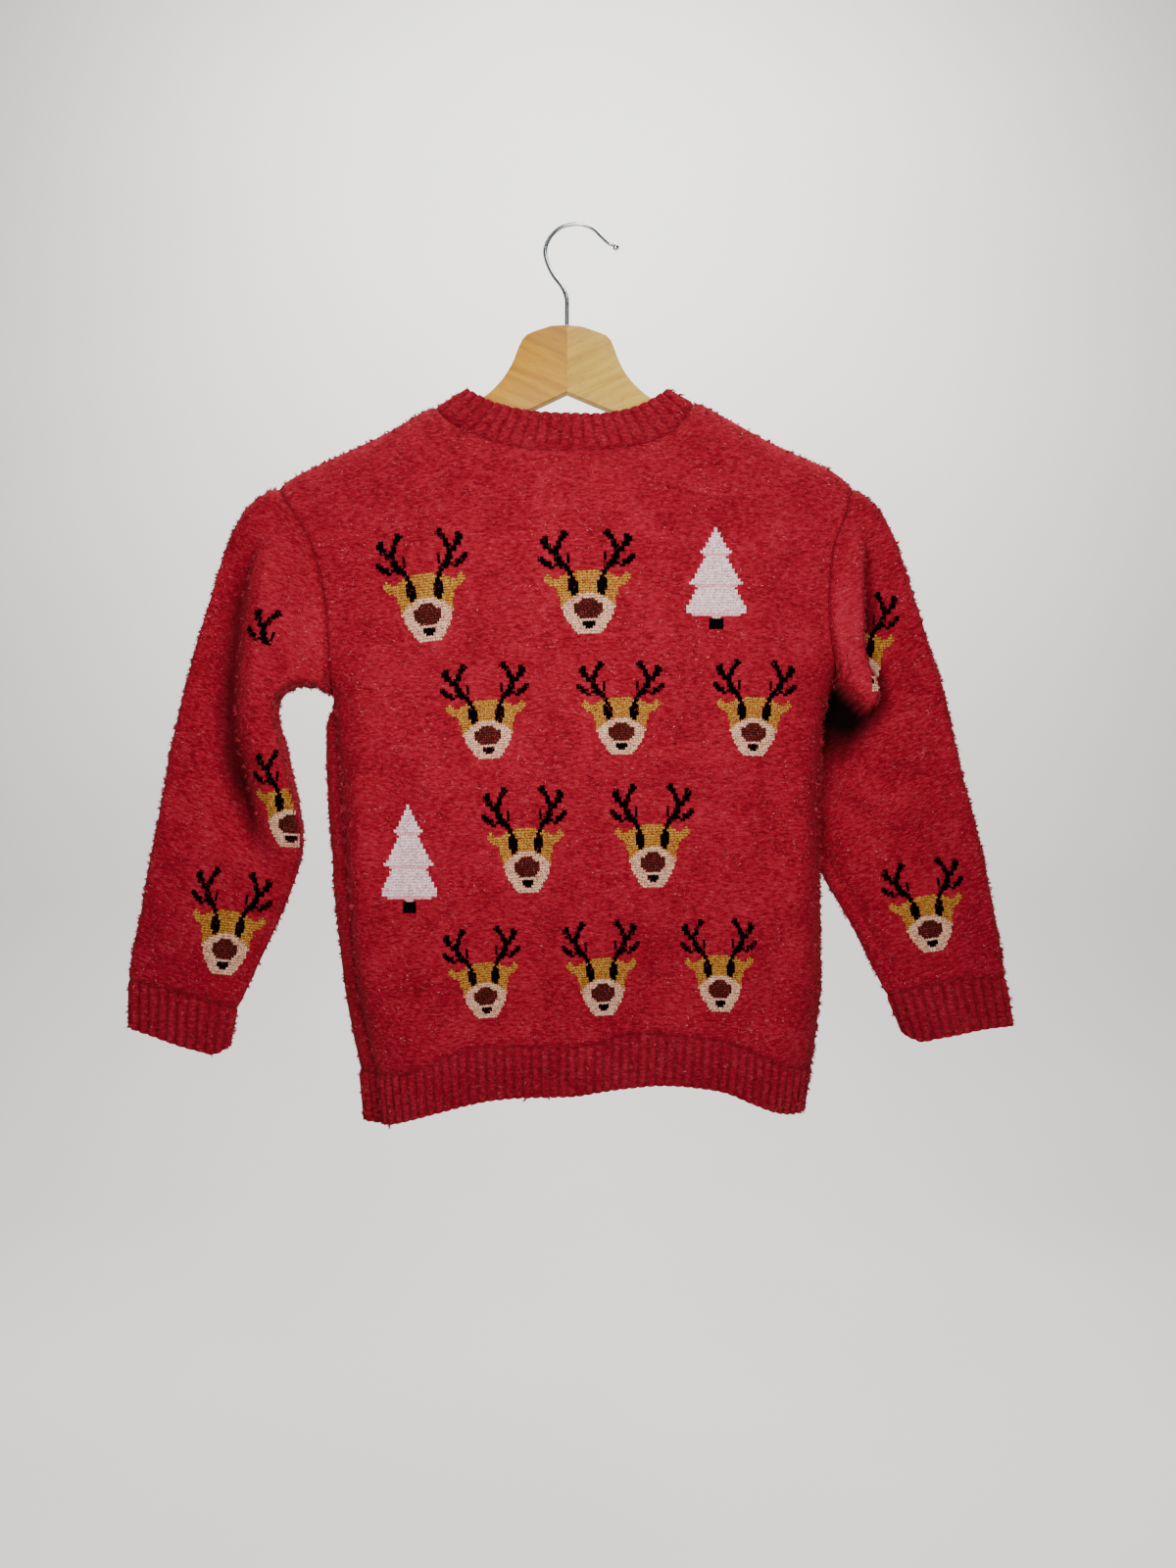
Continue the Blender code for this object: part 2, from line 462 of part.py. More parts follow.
def higher(a, b):
    return (a.z, a.x) > (b.z, b.x)


def close_rim(bm, outer_edge, inner_edge, ring):
    """Joins the two skins along one edge. Each rim face is split from its higher outer point,
    so the rims of two pieces that meet at a seam stay parallel."""
    count = len(outer_edge)
    for j in range(count if ring else count - 1):
        k = (j + 1) % count
        high, low = (j, k) if higher(outer_edge[j].co, outer_edge[k].co) else (k, j)
        bm.faces.new((outer_edge[high], outer_edge[low], inner_edge[low]))
        bm.faces.new((outer_edge[high], inner_edge[low], inner_edge[high]))


def wall_object(name, outer, inner, ring, finish, home):
    """One closed wall: an outer skin, an inner skin and the rims that join them."""
    bm = bmesh.new()
    skins = [[[bm.verts.new(point) for point in row * MM] for row in skin]
             for skin in (outer, inner)]
    rows, columns = outer.shape[:2]
    for skin in skins:
        for i in range(rows - 1):
            for j in range(columns if ring else columns - 1):
                k = (j + 1) % columns
                bm.faces.new((skin[i][j], skin[i][k], skin[i + 1][k], skin[i + 1][j]))
    for i in (0, -1):
        close_rim(bm, skins[0][i], skins[1][i], ring)
    if not ring:
        for j in (0, -1):
            close_rim(bm, [row[j] for row in skins[0]], [row[j] for row in skins[1]], False)
    bmesh.ops.recalc_face_normals(bm, faces=bm.faces[:])
    mesh = bpy.data.meshes.new(name)
    bm.to_mesh(mesh)
    bm.free()
    mesh.shade_smooth()
    mesh.set_sharp_from_angle(angle=math.radians(40))
    mesh.materials.append(finish)
    made = bpy.data.objects.new(name, mesh)
    home.objects.link(made)
    return made


def hanger_half(name, outline, joint_x, finish, home):
    """A sawn board: a flat outline with a thickness and rounded edges."""
    points = [(joint_x, HANGER_TOP_Z), *outline, (joint_x, HANGER_APEX_Z)]
    curve = bpy.data.curves.new(name, "CURVE")
    curve.dimensions = "2D"
    curve.fill_mode = "BOTH"
    spline = curve.splines.new("POLY")
    spline.points.add(len(points) - 1)
    for point, (x, z) in zip(spline.points, points):
        point.co = (x * MM, z * MM, 0.0, 1.0)
    spline.use_cyclic_u = True
    curve.extrude = 0.5 * HANGER_THICK * MM
    outline_object = bpy.data.objects.new(name + "_outline", curve)
    home.objects.link(outline_object)
    bpy.context.view_layer.update()
    depsgraph = bpy.context.evaluated_depsgraph_get()
    mesh = bpy.data.meshes.new_from_object(outline_object.evaluated_get(depsgraph))
    bpy.data.objects.remove(outline_object)
    bm = bmesh.new()
    bm.from_mesh(mesh)
    bmesh.ops.remove_doubles(bm, verts=bm.verts[:], dist=0.001 * MM)
    bmesh.ops.recalc_face_normals(bm, faces=bm.faces[:])
    bmesh.ops.dissolve_limit(bm, angle_limit=math.radians(1), verts=bm.verts[:],
                             edges=bm.edges[:])
    bm.to_mesh(mesh)
    bm.free()
    mesh.name = name
    mesh.materials.clear()
    mesh.materials.append(finish)
    made = bpy.data.objects.new(name, mesh)
    home.objects.link(made)
    made.rotation_euler = (math.radians(90), 0.0, 0.0)
    rounded = made.modifiers.new("edge", "BEVEL")
    rounded.width = HANGER_EDGE * MM
    rounded.segments = 2
    rounded.limit_method = "ANGLE"
    rounded.angle_limit = math.radians(60)
    return made


def hook_object(name, finish, home):
    """A wire bent to a question mark, with a small ball on its tip."""
    route = smooth_curve(HOOK_ROUTE, np.linspace(0.0, 1.0, HOOK_POINTS))
    tip = route[-1]
    way = (route[-1] - route[-2]) / np.linalg.norm(route[-1] - route[-2])
    ball = 0.5 * BALL
    points = list(route[:-1]) + [tip + way * ball * place for place, _ in BALL_PROFILE]
    radii = [0.5 * WIRE] * (len(route) - 1) + [ball * width for _, width in BALL_PROFILE]
    curve = bpy.data.curves.new(name, "CURVE")
    curve.dimensions = "3D"
    curve.bevel_depth = MM
    curve.bevel_resolution = (WIRE_SIDES - 4) // 2
    curve.use_fill_caps = True
    spline = curve.splines.new("POLY")
    spline.points.add(len(points) - 1)
    for point, (x, z), radius in zip(spline.points, points, radii):
        point.co = (x * MM, 0.0, z * MM, 1.0)
        point.radius = radius
    curve.materials.append(finish)
    made = bpy.data.objects.new(name, curve)
    home.objects.link(made)
    return made


def main():
    for old in list(bpy.data.objects):
        bpy.data.objects.remove(old)
    home = bpy.data.collections.new("christmas_sweater")
    bpy.context.scene.collection.children.link(home)
    red = material("red_knit", (0.33, 0.012, 0.024), 0.95)
    rib_red = material("red_rib_knit", (0.24, 0.010, 0.020), 0.95)
    wood = material("beech", (0.58, 0.34, 0.14), 0.5)
    pale_wood = material("pale_beech", (0.62, 0.45, 0.22), 0.5)
    steel = material("chromed_wire", (0.75, 0.75, 0.77), 0.2, 1.0)

    back = body_panel(BACK, NECK_SEAM_BACK, HEM_SEAM_BACK)
    front = body_panel(FRONT, NECK_SEAM_FRONT, HEM_SEAM_FRONT)
    armhole = slice(0, UNDERARM + 1)
    left = sleeve_sections(SLEEVE_LEFT, back[armhole, 0], front[armhole, 0])
    right = sleeve_sections(SLEEVE_RIGHT, back[armhole, -1], front[armhole, -1])
    neck_start = len(SHOULDER_STEPS) - 1
    neck = slice(neck_start, neck_start + len(NECK_STEPS))
    sheets = {
        "back_panel": (back, False),
        "front_panel": (front, False),
        "sleeve_left": (left, True),
        "sleeve_right": (right, True),
        "neckband": (neckband_sections(back[0, neck], front[0, neck]), True),
        "hem_rib_back": (hem_sections(BACK, back[-1], HEM_EDGE_BACK), False),
        "hem_rib_front": (hem_sections(FRONT, front[-1], HEM_EDGE_FRONT), False),
        "cuff_left": (cuff_sections(left[-1], "left"), True),
        "cuff_right": (cuff_sections(right[-1], "right"), True),
    }
    # Rows and columns run so that the cross product of their directions points outwards.
    turned = {name: (grid[:, ::-1] if name in ("front_panel", "hem_rib_front", "sleeve_right",
                                                "cuff_right", "neckband") else grid, ring)
              for name, (grid, ring) in sheets.items()}
    normals = outward_normals(turned)
    ribs = {"neckband": NECK_RIB_PITCH, "hem_rib_back": BODY_RIB_PITCH,
            "hem_rib_front": BODY_RIB_PITCH, "cuff_left": CUFF_RIB_PITCH,
            "cuff_right": CUFF_RIB_PITCH}
    for name, (grid, ring) in turned.items():
        outer = draw_back_from_seams(grid, ring)
        inner = outer - WALL * normals[name]
        if name in ribs:
            outer, inner = with_ribs(outer, inner, ring, ribs[name])
        wall_object(name, outer, inner, ring, rib_red if name in ribs else red, home)

    half_gap = 0.5 * SEAM_GAP
    hanger_half("hanger_left", HANGER_LEFT, HANGER_JOINT_X - half_gap, wood, home)
    hanger_half("hanger_right", HANGER_RIGHT, HANGER_JOINT_X + half_gap, pale_wood, home)
    hook_object("hook", steel, home)


main()
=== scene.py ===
"""A knitted christmas sweater on a wooden hanger: its cloth, stitches, fuzz and finishes."""

import math

import bmesh
import bpy
import numpy as np
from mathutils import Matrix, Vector, noise
from mathutils.bvhtree import BVHTree
from mathutils.kdtree import KDTree


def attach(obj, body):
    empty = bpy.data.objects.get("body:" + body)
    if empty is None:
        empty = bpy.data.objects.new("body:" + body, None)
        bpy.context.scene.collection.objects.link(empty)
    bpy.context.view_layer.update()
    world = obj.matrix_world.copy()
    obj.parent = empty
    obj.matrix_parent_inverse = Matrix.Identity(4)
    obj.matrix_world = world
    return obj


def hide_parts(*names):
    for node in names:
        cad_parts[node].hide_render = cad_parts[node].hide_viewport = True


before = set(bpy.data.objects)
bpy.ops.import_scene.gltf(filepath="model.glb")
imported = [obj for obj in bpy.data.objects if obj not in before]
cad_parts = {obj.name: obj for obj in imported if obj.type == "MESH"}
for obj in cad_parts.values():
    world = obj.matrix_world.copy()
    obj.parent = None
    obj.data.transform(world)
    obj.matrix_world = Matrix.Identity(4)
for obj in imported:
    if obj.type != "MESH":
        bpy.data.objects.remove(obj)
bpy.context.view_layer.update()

MM = 0.001
FRONT, BACK = 1, -1   # the front panel lies at +Y, the back panel at -Y

# ---------------------------------------------------------------- form of the garment, in mm

NECK_STEPS = (0, 0.03, 0.08, 0.18, 0.33, 0.5, 0.67, 0.82, 0.92, 0.97, 1)
SHOULDER_SHARE = 0.27  # of the body's width, under each shoulder
SHOULDER_STEPS = (0, 0.05, 0.14, 0.30, 0.52, 0.76, 1)
ARMHOLE_STEPS = (0, 0.006, 0.02, 0.045, 0.10, 0.20, 0.34, 0.57, 0.79, 0.92, 1)
SIDE_STEPS = (0, 0.06, 0.15, 0.27, 0.40, 0.53, 0.66, 0.78, 0.90, 1)
UNDERARM = len(ARMHOLE_STEPS) - 1
CURVE_STEPS = 24      # fine steps between two points of a table

# Seam lines as (x, z), from the shoulder's end down.
ARMHOLE_LEFT = (
    (-225.8, -201), (-219.2, -212.6), (-208.8, -226.7), (-199.5, -244.1), (-191.6, -262.1),
    (-187.7, -286.5), (-185.5, -307.1), (-184.2, -333.8), (-185.2, -360.8))
ARMHOLE_RIGHT = (
    (210.8, -201.8), (207.3, -212.9), (205.1, -221.8), (198.8, -235.5), (193.9, -248.5),
    (190.6, -273.9), (190.6, -304), (193.1, -326.2), (198.8, -345.8))
SIDE_LEFT = (
    (-185.2, -360.8), (-181.3, -397), (-178.8, -427), (-174.4, -471), (-170, -523),
    (-164.7, -575), (-157.3, -620), (-151.4, -646.5))
SIDE_RIGHT = (
    (198.8, -345.8), (190.5, -375), (187, -427), (187, -472), (187.8, -532), (188.2, -577),
    (186, -607), (180.4, -642.8))
SHOULDER_LEFT = (
    (-225.8, -201), (-215.2, -192.8), (-192.8, -182.2), (-170.2, -172.5), (-147.8, -160.5),
    (-125.2, -149.2), (-107.2, -138.8))
SHOULDER_RIGHT = (
    (210.8, -201.8), (201, -191.2), (178.5, -180), (156, -169.5), (133.5, -158.2), (111, -145.5),
    (90.8, -135.8))

# Neck curves as (x, y, z), from the wearer's left neck point to the right one.
NECK_SEAM_BACK = (
    (-107.2, 0, -138.8), (-105.4, -6.2, -141), (-101, -9.6, -147), (-92, -12, -155),
    (-66, -17, -167.7), (-37.2, -20, -175.2), (-8, -21, -177), (32.5, -20, -174.5),
    (58, -17, -168.3), (76.5, -12, -159.5), (85, -9.6, -148), (89, -6.2, -139.5),
    (90.8, 0, -135.8))
NECK_EDGE_BACK = (
    (-83.2, 0, -125.2), (-81.2, -6, -126.6), (-76.5, -9.4, -130.2), (-68, -11.5, -135.5),
    (-49.2, -16, -143.1), (-26, -18.5, -147.5), (0, -19, -148.5), (31.8, -18, -147.4),
    (46.6, -15, -142.1), (58.5, -11.5, -135.5), (65.5, -9.4, -130.5), (69.4, -6, -127.3),
    (71.2, 0, -126))
NECK_SEAM_FRONT = (
    (-107.2, 0, -138.8), (-105.4, 6.2, -141.2), (-101.5, 9.6, -148.5), (-94, 13, -160),
    (-72, 19, -180), (-40, 23, -196), (-8, 24, -200), (25, 23, -196), (57, 19, -180),
    (78, 13, -160), (85.5, 9.6, -147.5), (89, 6.2, -139.5), (90.8, 0, -135.8))
NECK_EDGE_FRONT = (
    (-83.2, 0, -125.2), (-81.2, 6, -127), (-77, 9.4, -132), (-69, 12.5, -142), (-50, 16.5, -158),
    (-28, 20, -168), (-6, 21, -171), (16, 20, -168), (38, 16.5, -158), (57, 12.5, -142),
    (65, 9.4, -132), (69.2, 6, -127.3), (71.2, 0, -126))

# The seam over the hem ribs and the hem's lower edge, as (x, z).
HEM_SEAM_BACK = (
    (-151.4, -646.5), (-136.9, -643.8), (-125.6, -642.6), (-107, -635.5), (-90.3, -628.2),
    (-75.6, -623.6), (-44.1, -622.7), (-7.7, -622.7), (16.3, -620.5), (38.9, -613.9),
    (57.8, -613.2), (82.6, -615.4), (106.7, -617.8), (124.4, -621.7), (138.4, -629.9),
    (155.7, -637.2), (180.4, -642.8))
HEM_EDGE_BACK = (
    (-147.7, -683.7), (-140.9, -682.5), (-129.4, -679.5), (-118.3, -675.5), (-107.2, -672.3),
    (-85.1, -666.9), (-63.2, -663), (-41.3, -660.8), (2.5, -659.4), (24.3, -655.7),
    (57.1, -652.1), (82.7, -652.1), (111.8, -656.4), (134, -665), (156.4, -673.9),
    (175.5, -674.5))
HEM_SEAM_FRONT = (
    (-151.4, -646.5), (-120, -640), (-80, -630), (-40, -624), (0, -621), (40, -619), (80, -620),
    (120, -626), (155, -636), (180.4, -642.8))
HEM_EDGE_FRONT = (
    (-147.7, -683.7), (-120, -678), (-80, -668), (-40, -661), (0, -657), (40, -655), (80, -656),
    (120, -662), (155, -671), (175.5, -674.5))

# Half depth of the body at each row: at the armhole seam, and half way across.
ARMHOLE_DEPTH = (0, 5, 8.5, 11, 14.5, 18, 20, 21, 20.5, 17, 0)
MIDDLE_DEPTH = (0, 5.2, 9.2, 11.6, 15, 19, 23, 26, 28, 29, 29.5, 30, 30.5, 31, 31, 30.5, 29.5,
                28.5, 27.5, 27)
# How far in from its side the body takes to reach its full depth at each row, and how
# quickly it rises there: 1 is a soft slope and 0.5 a round edge.
EDGE_ROUND = (60,) * (UNDERARM - 1) + (52,) + (44,) * len(SIDE_STEPS)
EDGE_POWER = (1,) * (UNDERARM - 2) + (0.9, 0.7) + (0.5,) * len(SIDE_STEPS)
# The left side seam has crept round to the back, so the front panel wraps over the side.
WRAP_DEPTH = (0, 3, 6, 8, 9, 9, 9, 9, 9, 9)
WRAP_WIDTH = (0, 12, 16.5, 18.5, 19.5, 20, 19.8, 19.3, 19.2, 18.5)
WRAP_SHIFT = (0, 1, 0.85, 0.36, 0.08)   # share of the width at the first columns
WRAP_RISE = (0, 0.27, 0.62, 0.88, 0.98)   # share of the depth at the same columns

# Broad folds of the body: x and z of the fold's middle at its top, x of it at the hem, its half
# width, and how far it stands out (+) or falls in (-).
FOLD_FOOT_Z = -640
FOLDS = {
    BACK: ((-92, -330, -112, 34, 3), (-30, -420, -62, 30, -2.5), (64, -450, 52, 38, -3.5),
           (120, -380, 142, 32, 3.5)),
    FRONT: ((-110, -380, -120, 34, 3), (-20, -400, -8, 40, -3.5), (96, -350, 118, 36, 3.5)),
}

# Sections of the sleeves, from the armhole to the cuff. Each goes from the outer edge, over
# the near side, to the inner edge. trough and ridge are the places along the section, and
# the depths, of the long fold that hangs from the shoulder; flap, turn and edge are the
# depths between the ridge and the inner edge; far is the depth of the hidden side.
SLEEVE_COLUMNS = ("outer_x", "outer_y", "outer_z", "inner_x", "inner_y", "inner_z", "bow",
                  "bulge", "trough", "trough_y", "ridge", "ridge_y", "flap_y", "turn_y",
                  "edge_y", "far", "seam_share")
SLEEVE_LEFT = (
    (-236, 0, -204.8, -192.8, 0, -354.8, 0, 13.5, 0.2, -15.5, 0.34, -18, -20, -16, -8, 18, 0.75),
    (-248.3, 0, -213.8, -201, 0, -353.3, 0, 13, 0.2, -14, 0.32, -19.5, -21, -17, -9, 17, 0.5),
    (-258, 0, -227.3, -209.3, 0, -353.3, 0, 12, 0.23, -9, 0.33, -21, -22, -19, -10, 16, 0.3),
    (-265.5, 0, -243.8, -216.8, 0, -356.3, 0, 12, 0.31, -3, 0.39, -22, -24, -21, -12, 16, 0.15),
    (-273, 0, -266.3, -222.8, 0, -361.5, 0, 11.5, 0.42, 0, 0.5, -23, -25, -23, -14, 16, 0.05),
    (-280.5, 0, -293.3, -225.8, 0, -369.8, 0, 12, 0.51, 2, 0.58, -24, -26, -24, -15, 16, 0),
    (-288, 0, -318, -225, 0, -381.8, 0, 12, 0.51, 2.5, 0.58, -24.5, -26, -23, -14, 16, 0),
    (-295.5, 0, -344.3, -220.5, 0, -398.3, 0, 12, 0.5, 2.5, 0.57, -23, -25, -21, -12, 16, 0),
    (-303, 0, -372, -215.3, 0, -419.3, 0, 12, 0.51, 1.5, 0.585, -21, -22, -19, -11, 15, 0),
    (-309.8, 0, -402, -210, 0, -441.8, 0, 11.5, 0.54, -1, 0.63, -18, -19, -16, -9, 15, 0),
    (-315, 0, -434.3, -207, 0, -464.3, 0, 11, 0.58, -4, 0.69, -16, -16, -13, -8, 14, 0),
    (-321, 0, -465.8, -209.3, 0, -485.3, 0, 11, 0.56, -10, 0.7, -14, -14, -12, -7, 14, 0),
    (-327, 0, -496.5, -216.8, 0, -507.8, 0, 11, 0.48, -11.5, 0.66, -13, -13, -11, -7, 13, 0),
    (-331.5, 0, -524.3, -228, 0, -534, 1, 10.5, 0.38, -12.5, 0.6, -13, -12, -10, -6, 12, 0),
    (-336.8, 0, -550.5, -242.3, 0, -565.5, 2, 9.5, 0.34, -12, 0.56, -12.5, -12, -9, -6, 11, 0),
    (-340.5, 0, -575.3, -258, 0, -597.8, 2, 9, 0.32, -11.5, 0.54, -12, -11, -9, -6, 11, 0),
)
SLEEVE_RIGHT = (
    (219, 0, -205.5, 203.5, 4, -344, 0, 13.5, 0.2, -15.5, 0.34, -18.5, -20, -20, -13, 18, 0.75),
    (227.3, 0, -213, 202.5, 12, -348.5, 0, 13, 0.2, -14, 0.32, -19.5, -22, -21, -12, 19, 0.5),
    (235.5, 0, -223.5, 198, 19, -357, 0, 11.5, 0.38, -8, 0.5, -20.5, -23, -22, -14, 20, 0.3),
    (243, 0, -237.8, 194.5, 24, -367.5, 0, 10.5, 0.53, -3, 0.62, -21.5, -23, -21, -2, 21, 0.15),
    (250.5, 1, -256.5, 192, 27, -379.5, 0, 10.5, 0.55, 1, 0.63, -21, -22, 3, 16, 21, 0.05),
    (258, 2, -278.3, 191, 27, -393.5, 0, 10.5, 0.51, 2.5, 0.585, -21, -22, 12, 18, 20, 0),
    (261, 2, -288, 191, 27, -399, 0, 10, 0.49, 2.5, 0.565, -20, -19, 14, 19, 20, 0),
    (263.5, 2, -296, 191, 27, -404, 0, 10, 0.475, 2, 0.55, -17, 7, 16, 20, 20, 0),
    (266.3, 3, -305.3, 191, 27, -410.3, 0, 9.5, 0.46, 1, 0.535, -6, 10, 16, 20, 19, 0),
    (274.8, 4, -330.8, 189.5, 26, -429, 0, 9.5, 0.42, -2, 0.55, 0, 9, 13, 17, 18, 0),
    (283.8, 5, -357.8, 188.3, 25, -449.3, 0, 10.5, 0.36, -4.5, 0.56, -1.5, 3, 8, 15, 17, 0),
    (290.8, 6, -387.8, 188, 23, -469.5, 0, 11, 0.34, -6, 0.56, -3, 2, 7, 14, 16, 0),
    (298.3, 6, -420.8, 189.3, 21, -486.8, 1, 11.5, 0.34, -6.5, 0.56, -4, 0, 4, 12, 15, 0),
    (306, 6, -451.5, 195.8, 18, -504, 2, 11.5, 0.34, -7, 0.56, -5.5, -2, 2, 9, 14, 0),
    (313, 5, -480.8, 204, 14, -519, 3, 11, 0.34, -7.5, 0.56, -7, -4, -1, 6, 13, 0),
    (319.5, 5, -513, 214, 10, -537.8, 4, 10.5, 0.34, -8, 0.56, -8, -6, -3, 3, 12, 0),
    (325.2, 4, -546.8, 225.6, 7, -561.8, 5, 10, 0.34, -8.5, 0.56, -8.5, -7, -4, 1, 12, 0),
    (329.5, 4, -574.8, 238.6, 4, -589, 5, 9.5, 0.34, -8.5, 0.56, -9, -8, -5, -1, 11, 0),
)
# The outer edge of a sleeve is rounded over its first points: share of the bulge at each, and
# how much of the section they take, which stops short of the trough.
OUTER_ROUND = (0, 0.42, 0.74, 0.93, 1)
OUTER_SHARE = 0.10
OUTER_TO_TROUGH = 0.6
FAR_ROUND = (0, 0.36, 0.60, 0.78, 0.93, 1, 1, 0.96, 0.80, 0.52, 0)

# How far the cuff's edge hangs below its seam, by the place along the section, and how its
# two ends move across.
CUFF_DROP = ((0, 36), (0.3, 38), (0.6, 40), (0.85, 38), (1, 28))
CUFF_SHIFT = {"left": (0.7, -5), "right": (5.6, 12)}
NECK_SWELL = 1.05     # depth of the neckband's middle to that of its two edges
HEM_SWELL = 0.8       # how far the middle of a hem rib piece stands out
HEM_DRAW_IN = 0.97    # depth of the hem's edge to that of its seam

# ---------------------------------------------------------------- hanger and hook, in mm

# One half's outline as (x, z) to the left of the glue joint, and to the right.
HANGER_LEFT = (
    (-18.6, -77.6), (-34, -82.8), (-39.5, -86.8), (-43.2, -94.1), (-48.4, -107), (-56.6, -119.5),
    (-68.6, -131), (-85, -139), (-107, -148.5), (-148, -169.5), (-193, -191.5), (-206, -198.5),
    (-213.5, -206), (-214.5, -213), (-209, -218), (-193, -211.5), (-148, -191.5), (-107, -173),
    (-68, -156.5), (-36.5, -142.6))
HANGER_RIGHT = (
    (5.3, -78.2), (22, -84), (26.6, -87.6), (29.4, -94.1), (34.6, -107), (42, -118.6),
    (55.2, -131), (70, -138.5), (91, -148), (133.5, -168), (178.5, -190), (191, -197.5),
    (198.5, -205), (199.5, -212), (194, -217), (178.5, -210), (133.5, -190), (91, -172),
    (56, -156.5), (28.4, -143))
HANGER_JOINT_X = -6.4
HANGER_GLUE = 0.05    # half the joint's width
HANGER_TOP_Z = -76.9
HANGER_APEX_Z = -128.4
HANGER_THICK = 10.6
HANGER_EDGE = 1.4     # radius of the boards' edges
HANGER_SLOPE = 24     # of the arms, in degrees
BOARD_POINTS = 90

WIRE = 3.3
BALL = 5.4            # width of the ball on the wire's tip
# Sections of the ball as (place along it, width there), both as shares of its radius.
BALL_SHAPE = ((-0.75, 0.66), (-0.45, 0.89), (0, 1), (0.45, 0.89), (0.8, 0.60), (1, 0.12))
WIRE_POINTS = 70
HOOK_ROUTE = (
    (-6.4, -76.5), (-6.4, -64), (-6.6, -55), (-9.8, -46.5), (-16.5, -37.5), (-21.2, -28),
    (-23, -18), (-19.5, -8.5), (-12, -1.2), (-2, 1.75), (7, 1.2), (14.5, -2.2), (20.5, -8),
    (26, -13), (30.8, -15.8))

# ---------------------------------------------------------------- cloth, creases and folds

WALL = 2.4            # thickness of the knitted cloth
STEP = 6.6            # face size of the cloth before its one subdivision
FOLD_STEP = 4.2       # the same on the sleeves, for their folds
RIB_STEP = 8.0        # the same along a rib
SEAM_STEPS = (-0.5, 0.8, 2.6, 5.0)    # rows beside a seam, the first just past it
SEAM_DIP = 0.7        # how far the cloth is drawn in at a seam
SEAM_DIP_WIDTH = 2.0
SEAM_SHADE = 0.55     # of a seam, where the cloth hides from the light
SEAM_SWELL = 0.5      # how far the turned edges lift the cloth beside a seam
SEAM_SWELL_PLACE, SEAM_SWELL_WIDTH = 6.0, 3.5
# Slow unevenness of the cloth: size of its waves, and how far they lift it.
UNEVEN = ((34.0, 0.8), (11.0, 0.35))

BODY_RIB_PITCH, NECK_RIB_PITCH, CUFF_RIB_PITCH = 6.7, 8.6, 7.6
RIB_PHASES = (0, 0.16, 0.50, 0.84)    # places across one rib
RIB_HEIGHTS = (-2.1, 0.55, 1.35, 0.55)
RIB_UNEVEN = (14.0, 0.3)              # size of the waves in its height, and their share
GROOVE_SHADE = 0.62                   # of a rib's groove
RIB_START = 3.0                       # how far from its seam a rib has its full height

# Creases: start and end as x and z, half width, how far out, and how far the line bends.
CREASES = {
    "back_panel": (
        (-160, -398, -152, -608, 9, 3, 4), (-138, -400, -134, -560, 9, -1.8, -5),
        (8, -340, 17, -602, 24, 3, 6), (-34, -500, -28, -602, 13, -3, 3),
        (148, -380, 138, -514, 13, -3.2, -5), (156, -536, 141, -616, 12, -2.8, 3),
        (172, -380, 171, -616, 6, 2.2, 1), (62, -420, 70, -600, 16, -2.2, -6),
        (-88, -420, -92, -590, 18, 2, 5), (-150, -230, -120, -330, 12, -2, 6),
        (168, -225, 150, -330, 12, -2, -5), (120, -180, 60, -235, 16, -1.6, 5),
        (-120, -185, -60, -235, 16, -1.6, -5)),
    "sleeve_left": ((-286, -350, -300, -470, 10, -2.4, 5),),
    "sleeve_right": (
        (250, -300, 280, -400, 10, -2.6, 5), (190, -474, 247, -578, 2.6, -1.9, 0),
        (185, -477, 242, -581, 3.2, 1.4, 0), (205, -400, 262, -432, 8, -3.6, 4),
        (200, -425, 268, -452, 8, 2.8, 4)),
}

# How each sleeve's near side folds over at the armpit. A pair of rows gives places along z, or
# along x for floor and deep, and the value at each.
# outline: the flap's outline, as x and z
# depth: the flap's own depth
# drop, round: how far, and over what width, its edge rounds back
# slope: the width of the slope outside its edge
# floor: the depth of the hollow beside it
# shade, deep: how far the hollow's shade reaches out, and how much further in places
# painted highlight: how much highlight is painted on the flap, which makes it paler
# fade: where the fold is full and where it fades out
# near: the first and last of the section's points that fold
# tuck: how far past those points the hollow still hides from the light
FLAPS = {
    "sleeve_right": {
        "outline": (
            (150, -200), (214, -200), (217, -232), (218.5, -262), (216.8, -284), (216.6, -304),
            (216.9, -324), (220, -339), (225.6, -352), (227, -363), (221.5, -371),
            (211.5, -363), (203, -353), (196, -344), (186, -341), (150, -341)),
        "depth": ((-350, -225), (-27.5, -19.5)), "drop": 4, "round": 5, "slope": 2.6,
        "floor": ((196, 206, 216, 228, 240, 262), (17, 15, 11, 4, -1, -6)),
        "shade": 24, "deep": ((196, 214), (16, 0)),
        "painted_highlight": ((-372, -345, -320, -225), (0, 0.27, 0.27, 0)),
        "fade": ((-470, -430, -300, -248), (0, 1, 1, 0)), "near": (9, 19), "tuck": 16},
    "sleeve_left": {
        "outline": (
            (-160, -220), (-238, -220), (-238.5, -262), (-241.5, -294), (-243.4, -326),
            (-245.6, -354), (-245.6, -381), (-243.4, -399), (-237.6, -417), (-230.3, -445),
            (-222, -472), (-206, -490), (-160, -495)),
        "depth": ((-360, -225), (-27, -20)), "drop": 3, "round": 9, "slope": 25,
        "floor": ((-296, -278, -264, -250, -230), (-9, -2, 5, 8, 4)),
        "shade": 46, "deep": ((-300, -200), (0, 0)),
        "painted_highlight": ((-352, -325, -290, -215), (0, 0.14, 0.14, 0)),
        "fade": ((-500, -425, -290, -235), (0, 1, 1, 0)), "near": (0, 10), "tuck": 0},
}
FOLD_EDGE, FOLD_START = 3.0, 6.0   # how far in from its sides and its seam a fold is full
HOLLOW_WIDTH = 22.0   # how far from the flap the hollow comes up again
HOLLOW_SHADE = 2.2    # of the hollow's deepest part
